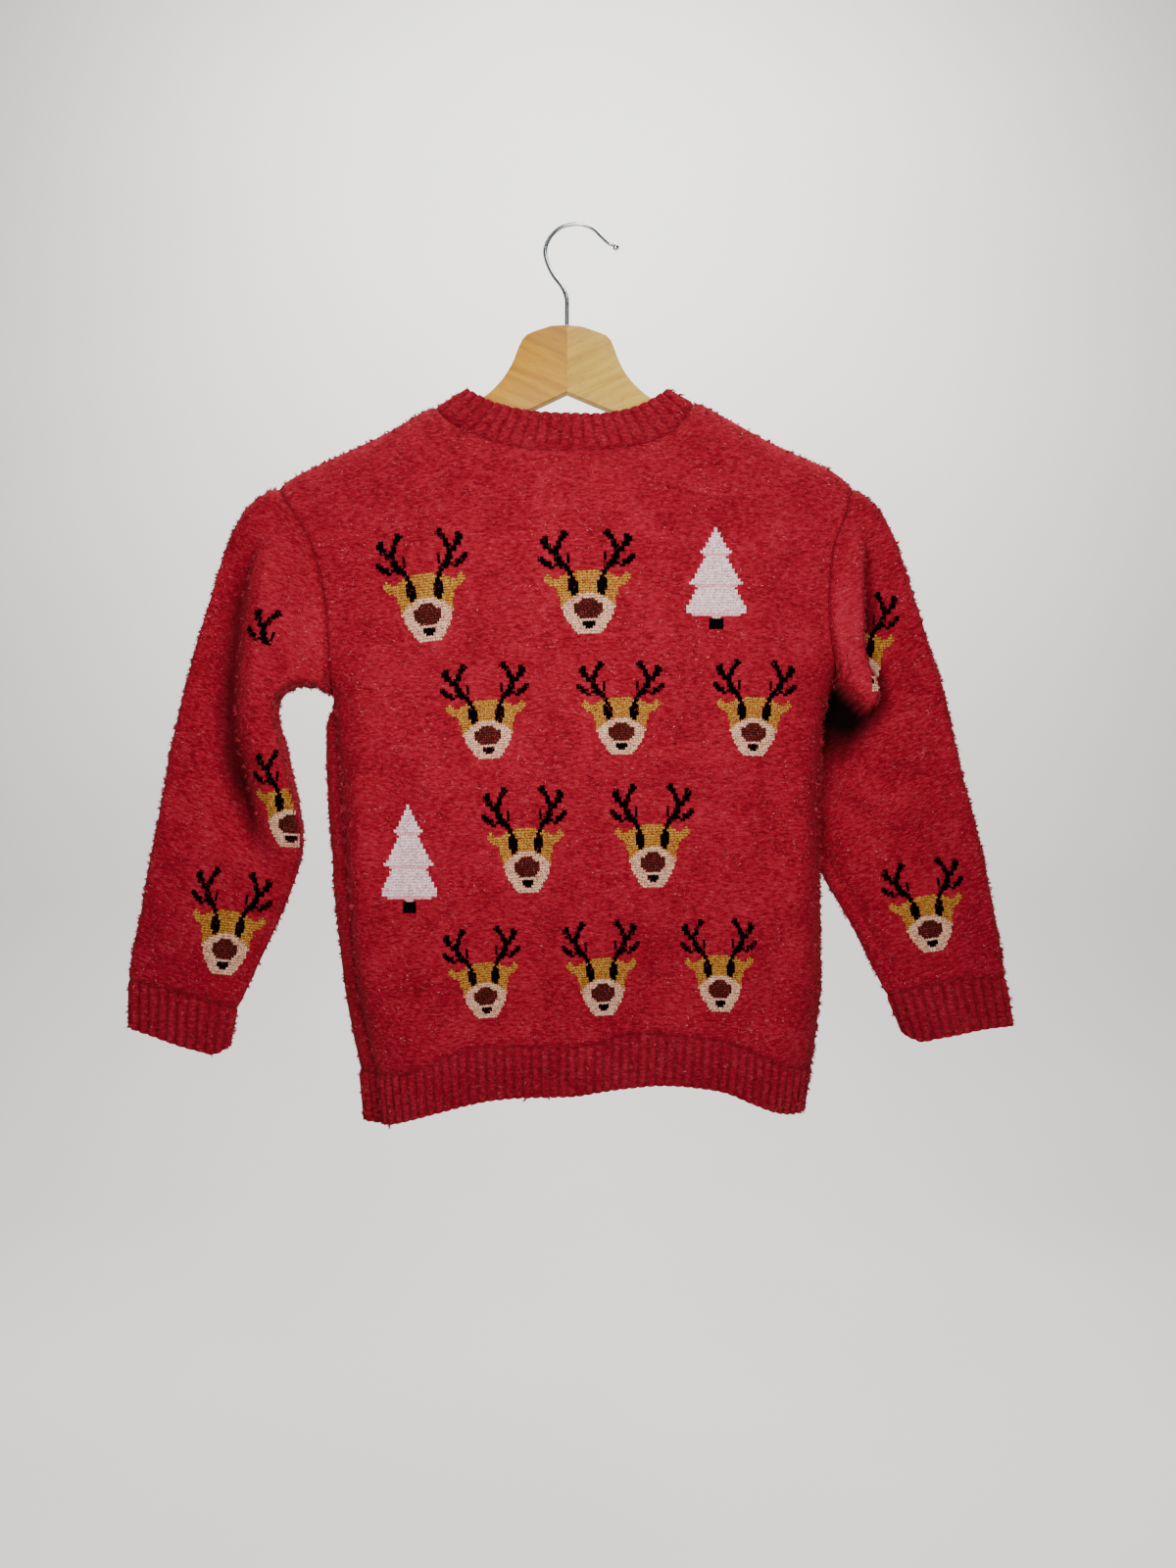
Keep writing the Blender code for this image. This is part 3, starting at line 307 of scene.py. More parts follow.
SHADE_TOP, SHADE_DEPTH = 13.0, 26.0   # how far under the flap the shade starts and is full
SHADE_REACH = 6.0     # how far out the shade reaches at the least
HIGHLIGHT_EDGE = 7.0     # width of the flap's edge that gets no painted highlight

# Rows of sewing that show away from the pieces' edges, as x and z.
SEWN_LINES = (((190, -474), (204, -500), (227, -541), (246, -576)),
              ((241, -584), (251, -616)), ((10, -181), (17, -181)))
THREAD_STEP = 2.6     # length of a seam's sewing stitch
THREAD_HALF = 0.42    # half its width

# ---------------------------------------------------------------- nap and pattern

# Loose fibres: what they are called, their first seed, length, half width, rise off the cloth in
# degrees, tone, and how far they gather in drifts.
FIBRES = (("nap_", 0, (2.0, 4.5), (0.10, 0.17), (4.0, 35.0), (0.0, 0.66), 0.0),
          ("pale_hairs_", 20, (1.4, 3.4), (0.12, 0.21), (0.0, 20.0), (0.70, 0.95), 3.6))
# How many of each lie on a square cm of a felted piece, and of a rib.
NAP = {"back_panel": (8.5, 2.6), "front_panel": (5.0, 1.0), "sleeve_left": (8.5, 2.6),
       "sleeve_right": (8.5, 2.6)}
RIB_NAP = (1.6, 0.8)
DRIFT_SIZE = 26.0
MOTIF_REACH = 3.2     # how near a pattern stitch the cloth counts as under the motif
MOTIF_SHARE = 0.12    # of the fibres that lie there
EDGE_SHARE = 0.3      # of the fibres that lie on a folded edge
TUFTS = 13.0          # on a square cm of folded edge
TUFT_FIBRES = 9
TUFT_LENGTH, TUFT_HALF = (2.0, 4.0), (0.28, 0.46)   # length and half width of its fibres
STRAY_LENGTH, STRAY_HALF = (0.8, 1.8), (0.10, 0.20)   # of a hair over a stitch, both halved
UV_MM = 100.0         # mm of cloth to one unit of the cloth's own UV map
WALE, COURSE = 2.0, 1.75   # width and height of a stitch
# A stitch's two legs: how far they lean and how wide they are as shares of the wale, half
#  their length as a share of the course, their height in mm, and their points' tones, which
#  paint shade at the leg's ends and a highlight on its middle.
LEG_LEAN, LEG_WIDE, LEG_LONG, LEG_HIGH = 0.26, 0.33, 0.74, 0.62
PAINTED_STITCH_LIGHT = (0.02, 0.20, 0.42, 0.20, 0.02)
PAD_LONG, PAD_WIDE, PAD_HIGH = 0.56, 0.54, 0.25   # the same of the pad under them

# The pattern's yarns by their letter in the charts: what their stitches and the yarn are
#  called, its dark, plain and pale colours, and the share of stitches with a red hair over them.
#  The dark and pale colours serve both the yarn's own tone from fibre to fibre and the shade
#  and highlight painted along each stitch.
YARNS = {
    "t": ("stitches_tan", "tan_yarn", "5c300c", "a8742a", "cda056", 0.5),
    "c": ("stitches_pale", "cream_yarn", "8a4a3c", "d6ac8c", "f2dcc6", 0.5),
    "k": ("stitches_black", "black_yarn", "010001", "040203", "0c0607", 0.1),
    "n": ("stitches_chestnut", "chestnut_yarn", "220a08", "3d1410", "5e2a20", 0.5),
    "w": ("stitches_white", "white_yarn", "b5707c", "ead4d8", "fbf3f4", 0.5),
    "p": ("stitches_pink", "pink_yarn", "c77d88", "dd9fa8", "ecc1c6", 0.5),
}

RAY_START = 80.0      # mm out from the garment's middle
RAY_LENGTH = 0.16     # in metres
FACING = 0.15         # how far the cloth has to face the side that shows a stitch

# The left half of each chart, its last stitch in the middle.
DEER = """
.........kk........
.........kkk.......
..kk....kkk........
.kkk....kk.........
.kkk...kk..........
..kkk..kk..........
..kkk.kkk..........
....kkkk...........
....kkkk...........
......kk...k.......
kk....kkk..k.......
kkk...kkk..k.......
.kkkk..kkk.k.......
..kkk.kkkkk........
....kk..kkkk.......
..........kk.......
...........kk.ttttt
...t......tkktttttt
..ttt...ttttkkttttt
..tttttttttkkkttttt
...ttttttttkkkktttt
....tttttttkkkktttt
......tttttkkkktttt
.......ttttkkkktttt
.......tttttkkktttt
.......tttttkktcccc
........tttttcccccc
........tttcccccnnn
........ttcccccnnnn
........tccccnnnnnn
........cccccnnnnnn
.........ccccnnnnnn
.........ccccnnnnnn
.........cccccnnnnn
..........cccccnnnn
..........ccccccccc
...........ccccckkk
............cccckkk
............ccccckk
.............cccccc
..............ccccc
"""
FIR = """
..........w
..........w
.........ww
.........ww
........www
........www
.......wwww
.......wwww
......wwwww
.....wwwwww
......ppppp
.......wwww
......wwwww
......wwwww
.....wwwwww
.....wwwwww
....wwwwwww
....wwwwwww
...wwwwwwww
...wwwwwwww
..wwwwwwwww
.wwwwwwwwww
...pppppppp
....wwwwwww
...wwwwwwww
...wwwwwwww
..wwwwwwwww
..wwwwwwwww
.wwwwwwwwww
.wwwwwwwwww
wwwwwwwwwww
wwwwwwwwwww
wwwwwwwwwww
..ppppppppp
.........pp
........kkk
........kkk
........kkk
........kkk
"""

# Where the pattern motifs are, by piece and side: chart, x and z of the middle, tilt in degrees,
# width, height, and the least x that shows, where a fold hides the rest.
MOTIFS = {
    ("back_panel", BACK): (
        ("deer", -111.7, -279.8, 7, 69, 83), ("deer", 9.4, -277.2, 2, 72, 77),
        ("fir", 104.7, -274, 0, 44, 76), ("deer", -65.5, -372.6, 4, 66, 71),
        ("deer", 34.1, -370.4, 1, 65, 69), ("deer", 132.7, -370.4, -2, 62, 71),
        ("fir", -122.7, -482, 1, 41, 80), ("deer", -36.4, -467.9, 3, 63, 79),
        ("deer", 57.4, -464.9, 1, 62, 77), ("deer", -67.7, -566.8, 5, 57, 68),
        ("deer", 19.9, -563.2, 3, 58, 71), ("deer", 106.9, -561, 2, 56, 69)),
    ("sleeve_left", BACK): (
        ("deer", -261.9, -531, -8, 61, 80), ("deer", -210.8, -438.5, -5, 61, 72),
        ("antler", -231.5, -308, -20, 24, 27)),
    ("sleeve_right", BACK): (
        ("deer", 266.5, -519.1, 9, 62, 70), ("deer", 218.5, -319, 0, 56, 78, 221)),
    ("front_panel", FRONT): (
        ("deer", -95, -300, 0, 68, 78), ("fir", -5, -300, 0, 44, 76),
        ("deer", 92, -300, 0, 68, 78), ("deer", -120, -388, 1, 64, 72),
        ("deer", -28, -390, 0, 65, 72), ("deer", 66, -388, -1, 64, 72),
        ("deer", -78, -478, 1, 62, 74), ("deer", 20, -478, 0, 62, 75),
        ("fir", 118, -476, 0, 43, 78), ("deer", -98, -566, 1, 58, 70),
        ("deer", -2, -564, 0, 58, 70), ("deer", 92, -564, -1, 58, 70)),
    ("sleeve_left", FRONT): (("deer", -268, -400, -9, 62, 76),),
    ("sleeve_right", FRONT): (("deer", 252, -400, 10, 62, 76),),
}

# ---------------------------------------------------------------- studio, in metres

CAMERA_PLACE = (0.00975, -0.9, -0.42675)
FLOOR_Z = -1.6
FLOOR_HALF = 3.0
WALL_HEIGHT = 5.0
WALL_ROUND = 0.8      # of the bend between the floor and the wall
LAMP_COLOUR = (1.0, 0.985, 0.96)
SKY_COLOUR = (0.9, 0.93, 1.0, 1.0)
SKY_STRENGTH = 0.16
# Lights: name, energy in watts, size, place, and the point that it faces.
LIGHTS = (
    ("key_light", 3.4, 0.30, (-0.02, -0.53, -0.30), (-0.01, 0.0, -0.36)),
    ("top_light", 18.0, 0.7, (0.30, -1.1, 1.0), (0.0, 0.0, -0.40)),
    ("wall_light", 235.0, 2.5, (0.0, 0.9, 1.7), (0.0, 3.0, -0.2)),
)


# ---------------------------------------------------------------- outer points of the pieces

def smooth_curve(points, fractions):
    """Points at the given shares of the length of a smooth curve through the table's points."""
    p = np.array(points, float)
    p = np.vstack([2 * p[0] - p[1], p, 2 * p[-1] - p[-2]])
    fine = []
    for a, b, c, d in zip(p, p[1:], p[2:], p[3:]):
        for t in np.linspace(0.0, 1.0, CURVE_STEPS, endpoint=False):
            fine.append(0.5 * (2 * b + (c - a) * t + (2 * a - 5 * b + 4 * c - d) * t * t
                               + (3 * b - 3 * c + d - a) * t ** 3))
    fine.append(p[-2])
    fine = np.array(fine)
    length = walked(fine)
    at = np.array(fractions) * length[-1]
    return np.column_stack([np.interp(at, length, column) for column in fine.T])


def walked(points):
    """How far along a line of points each of them lies, in mm."""
    steps = np.linalg.norm(np.diff(points, axis=0), axis=1)
    return np.concatenate([[0.0], np.cumsum(steps)])


def lengths(points):
    """Length along a line of points, from 0 to 1."""
    total = walked(points)
    return total / total[-1]


def eased(share):
    """A share from 0 to 1 that starts and ends softly."""
    return share * share * (3.0 - 2.0 * share)


def body_columns(neck):
    """The upper edge of a body panel: shoulder, neck, shoulder."""
    left, right = (np.insert(smooth_curve(shoulder, SHOULDER_STEPS), 1, 0.0, axis=1)
                   for shoulder in (SHOULDER_LEFT, SHOULDER_RIGHT))
    return np.vstack([left[:-1], smooth_curve(neck, NECK_STEPS), right[::-1][1:]])


def fold_depth(side, x, z):
    """How far the body's broad folds stand out at a point."""
    total = 0.0
    for top_x, top_z, foot_x, half, out in FOLDS[side]:
        down = min(max((top_z - z) / (top_z - FOLD_FOOT_Z), 0.0), 1.0)
        across = (x - (top_x + (foot_x - top_x) * down)) / half
        total += out * math.sin(0.5 * math.pi * down) * math.exp(-across * across)
    return total


def body_panel(side, neck_seam, hem_seam):
    """Outer points of one body panel, rows from the shoulder down, columns left to right."""
    top = body_columns(neck_seam)
    left, right = (np.vstack([smooth_curve(armhole, ARMHOLE_STEPS),
                              smooth_curve(seam, SIDE_STEPS)[1:]])
                   for armhole, seam in ((ARMHOLE_LEFT, SIDE_LEFT),
                                         (ARMHOLE_RIGHT, SIDE_RIGHT)))
    down = 0.5 * (lengths(left) + lengths(right))
    across = (top[:, 0] - top[0, 0]) / (top[-1, 0] - top[0, 0])
    across_foot = np.concatenate([np.array(SHOULDER_STEPS[:-1]) * SHOULDER_SHARE,
                                  np.linspace(SHOULDER_SHARE, 1.0 - SHOULDER_SHARE,
                                              len(NECK_STEPS)),
                                  1.0 - np.array(SHOULDER_STEPS[-2::-1]) * SHOULDER_SHARE])
    foot = smooth_curve(hem_seam, across_foot)
    points = np.zeros((len(down), len(across), 3))
    for i, v in enumerate(down):
        for j in range(len(across)):
            u = (1 - v) * across[j] + v * across_foot[j]
            edge = (1 - v) * top[j, [0, 2]] + v * foot[j] + (1 - u) * left[i] + u * right[i]
            corners = ((1 - u) * (1 - v) * left[0] + u * (1 - v) * right[0]
                       + (1 - u) * v * left[-1] + u * v * right[-1])
            x, z = edge - corners
            points[i, j] = (x, body_depth(side, i, x, z, left[i], right[i], top[j, 1], v), z)
    if side == FRONT:
        wrap_side(points)
    return points


def body_depth(side, row, x, z, left, right, top_y, v):
    """The depth of one point of a body panel, between its seams at left and right."""
    in_armhole = row <= UNDERARM
    seam = ARMHOLE_DEPTH[row] if in_armhole else 0.0
    near_left = x - left[0] < right[0] - x
    from_edge = max(min(x - left[0], right[0] - x), 0.0)
    if near_left and not in_armhole:
        wrap = WRAP_DEPTH[row - UNDERARM]
        seam = wrap if side == BACK else -wrap
    inside = 1.0 - min(from_edge / EDGE_ROUND[row], 1.0)
    share = (1.0 - inside * inside) ** EDGE_POWER[row]
    folds = fold_depth(side, x, z) * share
    depth = seam + (MIDDLE_DEPTH[row] + folds - seam) * share
    if top_y:
        depth = math.hypot(abs(top_y) * (1.0 - v), depth)
    return side * depth


def wrap_side(points):
    """The front panel stands out past the left side seam, and so over the garment's side."""
    for i in range(UNDERARM + 1, len(points)):
        seam_y = points[i, 0, 1]
        full = points[i, len(WRAP_SHIFT), 1]
        for j, (shift, rise) in enumerate(zip(WRAP_SHIFT, WRAP_RISE)):
            points[i, j, 0] -= WRAP_WIDTH[i - UNDERARM] * shift
            points[i, j, 1] = seam_y + (full - seam_y) * rise


def near_places(trough, ridge):
    """Places of a section's near points: the rounded edge, the trough, the ridge, the rest."""
    shares = np.array(ARMHOLE_STEPS, float)
    edge = len(OUTER_ROUND)
    places = shares.copy()
    places[:edge] *= min(OUTER_SHARE, OUTER_TO_TROUGH * trough) / shares[edge - 1]
    places[edge], places[edge + 1] = trough, ridge
    rest = (shares[edge + 2:] - shares[edge + 1]) / (1.0 - shares[edge + 1])
    places[edge + 2:] = ridge + rest * (1.0 - ridge)
    return places


def ringed(near, far):
    """A ring of points: over the near side, and back over the far side."""
    return np.vstack([near, far[::-1][1:-1]])


def sleeve_sections(table, back_seam, front_seam):
    """Rings of a sleeve, from the armhole's own points down to the cuff."""
    shares = np.array(ARMHOLE_STEPS)
    rings = [ringed(back_seam, front_seam)]
    chord = back_seam[0] + np.outer(shares, back_seam[-1] - back_seam[0])
    for numbers in table:
        row = dict(zip(SLEEVE_COLUMNS, numbers))
        outer, inner = (np.array([row[end + axis] for axis in ("_x", "_y", "_z")], float)
                        for end in ("outer", "inner"))
        near_share = near_places(row["trough"], row["ridge"])
        near = outer + np.outer(near_share, inner - outer)
        near[:, 1] = ([row["outer_y"] - row["bulge"] * share for share in OUTER_ROUND]
                      + [row[place + "_y"] for place in ("trough", "ridge", "flap", "turn",
                                                         "edge", "inner")])
        near[:, 2] += row["bow"] * np.sin(math.pi * near_share)
        far = outer + np.outer(shares, inner - outer)
        far[:, 1] += row["far"] * np.array(FAR_ROUND)
        for half, seam in ((near, back_seam), (far, front_seam)):
            half[:, [0, 2]] += row["seam_share"] * (seam - chord)[:, [0, 2]]
        rings.append(ringed(near, far))
    return np.array(rings)


def cuff_sections(seam_ring, name):
    """Three rings of a cuff: its seam, its middle and its edge."""
    half = len(ARMHOLE_STEPS)
    far_place = lengths(np.vstack([seam_ring[half - 1:], seam_ring[:1]]))
    share = np.concatenate([lengths(seam_ring[:half]), 1.0 - far_place[1:-1]])
    drop = np.interp(share, *zip(*CUFF_DROP))
    shift = np.interp(share, (0.0, 1.0), CUFF_SHIFT[name])
    rings = [seam_ring]
    for down in (0.5, 1.0):
        ring = seam_ring.copy()
        ring[:, 0] += down * shift
        ring[:, 2] -= down * drop
        rings.append(ring)
    return np.array(rings)


def neckband_sections(back, front):
    """Three rings of the neckband: its seam, a middle that stands out a little, its edge."""
    seam = ringed(back, front)
    edge = ringed(*(smooth_curve(table, NECK_STEPS)
                    for table in (NECK_EDGE_BACK, NECK_EDGE_FRONT)))
    middle = 0.5 * (seam + edge)
    middle[:, 1] *= NECK_SWELL
    return np.array([seam, middle, edge])


def hem_sections(side, seam_row, edge_table):
    """Three rows of a hem rib piece, from its seam down."""
    seam_x = seam_row[:, 0]
    edge_x, edge_z = np.array(edge_table).T
    across = (seam_x - seam_x[0]) / (seam_x[-1] - seam_x[0])
    x = edge_x[0] + across * (edge_x[-1] - edge_x[0])
    edge = np.column_stack([x, seam_row[:, 1] * HEM_DRAW_IN, np.interp(x, edge_x, edge_z)])
    middle = 0.5 * (seam_row + edge)
    middle[1:-1, 1] += side * HEM_SWELL
    return np.array([seam_row, middle, edge])


# ---------------------------------------------------------------- fine cloth

def cubic(points, knots, at, ring=False):
    """Points at the given places of a smooth surface through rows of points."""
    p, k = np.asarray(points, float), np.asarray(knots, float)
    if ring:
        p = np.concatenate([p[-2:], p, p[:3]])
        k = np.concatenate([k[-3:-1] - k[-1], k, k[1:3] + k[-1]])
    step = np.diff(k)[:, None, None]
    slope = np.diff(p, axis=0) / step
    tangent = np.concatenate([slope[:1], (step[1:] * slope[:-1] + step[:-1] * slope[1:])
                              / (step[1:] + step[:-1]), slope[-1:]])
    i = np.clip(np.searchsorted(k, at, side="right") - 1, 0, len(k) - 2)
    h = step[i]
    t = ((at - k[i]) / (k[i + 1] - k[i]))[:, None, None]
    return ((2 * t ** 3 - 3 * t ** 2 + 1) * p[i] + (t ** 3 - 2 * t ** 2 + t) * h * tangent[i]
            + (3 * t ** 2 - 2 * t ** 3) * p[i + 1] + (t ** 3 - t ** 2) * h * tangent[i + 1])


def chord_knots(grid, axis, ring=False):
    """Places of a grid's rows or columns, in mm along the cloth."""
    rows = np.moveaxis(grid, axis, 0)
    if ring:
        rows = np.concatenate([rows, rows[:1]])
    steps = np.linalg.norm(np.diff(rows, axis=0), axis=2).mean(axis=1)
    return np.concatenate([[0.0], np.cumsum(steps)])


def even_places(total, step, closed=False, rim=False):
    """Places along a side about a step apart, closer beside the seams at its ends."""
    if closed:
        return np.linspace(0.0, total, round(total / step) + 1)[:-1]
    inner = total - 2 * SEAM_STEPS[-1]
    middle = SEAM_STEPS[-1] + np.linspace(0.0, inner, max(2, round(inner / step) + 1))
    ends = np.array(SEAM_STEPS[:-1])
    last = np.maximum(ends, 0.0) if rim else ends
    return np.concatenate([ends, middle, total - last[::-1]])


def sheet_normals(grid, ring):
    """The cloth's normal at each point of a grid."""
    across = (np.roll(grid, -1, axis=1) - np.roll(grid, 1, axis=1) if ring
              else np.gradient(grid, axis=1))
    return unit(np.cross(np.gradient(grid, axis=0), across))


def unit(vectors):
    """The same vectors, each made 1 long."""
    return vectors / np.maximum(np.linalg.norm(vectors, axis=-1, keepdims=True), 1e-9)


def rib_places(total, pitch, ring):
    """Places across a ribbed band, with the rib's height at each."""
    count = max(1, round(total / pitch))
    places = (np.arange(count)[:, None] + np.array(RIB_PHASES)[None, :]).ravel()
    heights = np.tile(RIB_HEIGHTS, count)
    if not ring:
        places, heights = np.append(places, count), np.append(heights, RIB_HEIGHTS[0])
    return places * total / count, heights


def wander(points, size, seed, amount):
    """Slow uneven numbers over the cloth, from about -amount to amount."""
    shift = Vector((seed * 7.3, seed * 3.1, seed * 5.7))
    return amount * np.array([noise.noise(Vector(p) + shift)
                              for p in points.reshape(-1, 3) / size]).reshape(points.shape[:-1])


def outline_distance(x, z, outline):
    """Distance of points from a closed outline, positive inside it, and its nearest points."""
    near = np.full(x.shape, np.inf)
    foot_x, foot_z = np.zeros(x.shape), np.zeros(x.shape)
    inside = np.zeros(x.shape, bool)
    for (x0, z0), (x1, z1) in zip(outline, outline[1:] + outline[:1]):
        way_x, way_z = x1 - x0, z1 - z0
        along = ((x - x0) * way_x + (z - z0) * way_z) / (way_x ** 2 + way_z ** 2)
        along = np.clip(along, 0.0, 1.0)
        at_x, at_z = x0 + along * way_x, z0 + along * way_z
        far = np.hypot(x - at_x, z - at_z)
        foot_x, foot_z = np.where(far < near, at_x, foot_x), np.where(far < near, at_z, foot_z)
        near = np.minimum(near, far)
        if z0 != z1:
            inside ^= ((z0 > z) != (z1 > z)) & (x < x0 + (z - z0) * way_x / way_z)
    return np.where(inside, near, -near), foot_x, foot_z


def smooth_outline(outline):
    """The outline with its corners taken off, as a list of points."""
    rounded = smooth_curve(outline, np.linspace(0.0, 1.0, 5 * len(outline)))
    return [tuple(point) for point in rounded]


def folded(name, grid, near, tucked):
    """Lays a sleeve's near side in its fold: a flap with a rounded edge over a deep hollow, and
    the shade painted into the hollow, with the highlight painted on the flap below 0. near and
    tucked are 1 where it lies and where its hollow gets painted shade."""
    flap = FLAPS[name]
    x, y, z = np.moveaxis(grid, 2, 0)
    reach, foot_x, foot_z = outline_distance(x, z, smooth_outline(flap["outline"]))
    share = np.interp(z, *flap["fade"]) * near
    # The cloth's own points lie along a sharp fold's edge, so that it doesn't come out in steps.
    draw = np.clip(1.6 - np.abs(reach) / (0.45 * FOLD_STEP), 0.0, 1.0) * (share > 0.3)
    draw = draw * (flap["slope"] < FOLD_STEP)
    x, z, reach = x + draw * (foot_x - x), z + draw * (foot_z - z), reach * (1.0 - draw)
    inner = 1.0 - np.clip(reach / flap["round"], 0.0, 1.0)
    level = np.interp(z, *flap["depth"])
    top = level + flap["drop"] * (1.0 - np.sqrt(1.0 - inner * inner))
    over = eased(np.clip(1.0 + reach / flap["slope"], 0.0, 1.0))
    outside = np.minimum(reach + 0.5 * flap["slope"], 0.0)
    sunk = (np.maximum(np.interp(x, *flap["floor"]) - y, 0.0)
            * np.exp(-(outside / HOLLOW_WIDTH) ** 2))
    wanted = (y + sunk) * (1.0 - over) + top * over
    laid = np.stack([x, y + share * (wanted - y), z], axis=2)
    # Painted shade: the hollow under the flap is darkened in the colour, most just under its
    # edge.
    under = np.clip((laid[..., 1] - level - SHADE_TOP) / SHADE_DEPTH, 0.0, 1.0)
    reached = SHADE_REACH + (flap["shade"] + np.interp(x, *flap["deep"])) * under ** 2
    painted_light = HOLLOW_SHADE * under * np.exp(-np.abs(outside / reached) ** 3)
    painted_light = painted_light * (reach < 0.0) * tucked * np.interp(z, *flap["fade"])
    # Painted highlight on the flap, which faces up to the light: there the number is below 0.
    painted_highlight = np.clip(reach / HIGHLIGHT_EDGE, 0.0, 1.0) * near * np.interp(z, *flap["painted_highlight"])
    return laid, painted_light - painted_highlight


def pressed(name, grid, normals):
    """How far the creases of one piece lift or lower each point of its near side."""
    lift = np.zeros(grid.shape[:2])
    for x0, z0, x1, z1, half, out, bend in CREASES.get(name, ()):
        way = np.array([x1 - x0, z1 - z0], float)
        length = np.hypot(*way)
        along = ((grid[..., 0] - x0) * way[0] + (grid[..., 2] - z0) * way[1]) / length ** 2
        off = ((grid[..., 0] - x0) * way[1] - (grid[..., 2] - z0) * way[0]) / length
        off = off - bend * np.sin(math.pi * np.clip(along, 0.0, 1.0))
        width = half * (0.75 + 0.5 * np.clip(along, 0.0, 1.0))
        ends = eased(np.clip(np.minimum(along, 1.0 - along) * 4.0 + 0.3, 0.0, 1.0))
        faces = np.clip(normals[..., 1] * BACK * 3.0, 0.0, 1.0)
        lift += out * ends * faces * np.exp(-(off / width) ** 2)
    return lift


def fine_sheet(name, grid, ring, pitch=None):
    """The piece's outer points, fine and creased, with the shade painted on each in a seam, a
    rib's groove or a fold, and below 0 the highlight painted on a sleeve's flap.
    """
    down = chord_knots(grid, 0)
    across = chord_knots(grid, 1, ring)
    step = FOLD_STEP if name in FLAPS else RIB_STEP if pitch else STEP
    rows = even_places(down[-1], step, rim=bool(pitch))
    if pitch:
        columns, heights = rib_places(across[-1], pitch, ring)
    else:
        columns = even_places(across[-1], step, ring)
    fine = cubic(grid, down, rows)
    fine = np.moveaxis(cubic(np.moveaxis(fine, 1, 0), across, columns, ring), 0, 1)
    if name in FLAPS:
        first, last = FLAPS[name]["near"]
        inner = np.minimum(columns - across[first], across[last] - columns)
        tucked = np.clip((inner + FLAPS[name]["tuck"]) / FOLD_EDGE, 0.0, 1.0)
        near = (np.clip(inner / FOLD_EDGE, 0.0, 1.0)
                * np.clip(rows / FOLD_START, 0.0, 1.0)[:, None])
        fine, painted_light = folded(name, fine, near, tucked)
    normals = sheet_normals(fine, ring)
    lift = sum(wander(fine, size, seed, amount)
               for seed, (size, amount) in enumerate(UNEVEN, start=1))
    lift += pressed(name, fine, normals)
    from_seam = (rows if pitch else np.minimum(rows, rows[-1] - rows))[:, None]
    from_seam = from_seam + np.zeros(len(columns))
    if not ring:
        from_seam = np.minimum(from_seam, np.minimum(columns, columns[-1] - columns)[None, :])
    seam = np.exp(-(np.maximum(from_seam, 0.0) / SEAM_DIP_WIDTH) ** 2)
    lift -= SEAM_DIP * seam
    # Painted shade where the cloth turns into a seam.
    seam = SEAM_SHADE * seam
    if pitch:
        rise = np.clip(rows / RIB_START, 0.25, 1.0)[:, None]
        lift += heights[None, :] * rise * (1.0 + wander(fine, RIB_UNEVEN[0], 3, RIB_UNEVEN[1]))
        # Painted shade in the grooves between the ribs.
        seam = np.maximum(seam, GROOVE_SHADE * (heights < 0.0)[None, :] * rise)
    else:
        lift += SEAM_SWELL * np.exp(-((from_seam - SEAM_SWELL_PLACE) / SEAM_SWELL_WIDTH) ** 2)
    if name in FLAPS:
        # The hollow's painted shade, and the flap's painted highlight below 0, go into the same
        # numbers.
        seam = np.where(painted_light < 0.0, seam + painted_light, np.maximum(seam, painted_light))
    return fine + normals * lift[..., None], columns, rows, seam


def linked(name, data):
    """A new object in the scene."""
    made = bpy.data.objects.new(name, data)
    bpy.context.scene.collection.objects.link(made)
    return made


def piece_of(name, data, finish, node=None):
    """A piece of the sweater or its hanger, in its finish, in the place of a solid if it has
    one."""
    data.materials.append(finish)
    made = linked(name, data)
    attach(made, "root")
    if node:
        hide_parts(node)
    return made


def mesh_of(name, bm):
    """A smooth mesh made of a bmesh, which is freed."""
    for face in bm.faces:
        face.smooth = True
    mesh = bpy.data.meshes.new(name)
    bm.to_mesh(mesh)
    bm.free()
    return mesh


def knitted(name, node, grid, ring, finish, pitch=None):
    """One knitted piece: a thin wall with its outer skin on the given points."""
    fine, columns, rows, seam = fine_sheet(node, grid, ring, pitch)
    count = len(columns)
    last = count if ring else count - 1
    spans = np.append(columns, chord_knots(grid, 1, ring)[-1]) if ring else columns
    bm = bmesh.new()
    bmesh.ops.create_grid(bm, x_segments=last, y_segments=len(rows) - 1, size=1.0)
    # The seam attribute is painted light: shade painted at seams, in rib grooves and hollows
    # above 0, a highlight painted on the flaps below 0.
    painted_light_layer = bm.verts.layers.float.new("seam")
    uv_layer = bm.loops.layers.uv.new("UVMap")
    place = {}
    for vert in bm.verts:
        j = round((vert.co.x + 1) / 2 * last)
        i = round((1 - vert.co.y) / 2 * (len(rows) - 1))
        place[vert] = (i, j)
        vert[painted_light_layer] = seam[i, j % count]
    for face in bm.faces:
        for loop in face.loops:
            i, j = place[loop.vert]
            loop[uv_layer].uv = (spans[j] / UV_MM, -rows[i] / UV_MM)
    for vert, (i, j) in place.items():
        vert.co = Vector(fine[i, j % count]) * MM
    if ring:
        bmesh.ops.remove_doubles(bm, verts=bm.verts[:], dist=0.01 * MM)
    made = piece_of(name, mesh_of(name, bm), finish, node)
    wall = made.modifiers.new("wall", "SOLIDIFY")
    wall.thickness = WALL * MM
    wall.offset = -1.0
    wall.edge_crease_outer = 0.6
    soft = made.modifiers.new("soft", "SUBSURF")
    soft.levels = soft.render_levels = 1
    return made


# ---------------------------------------------------------------- finishes

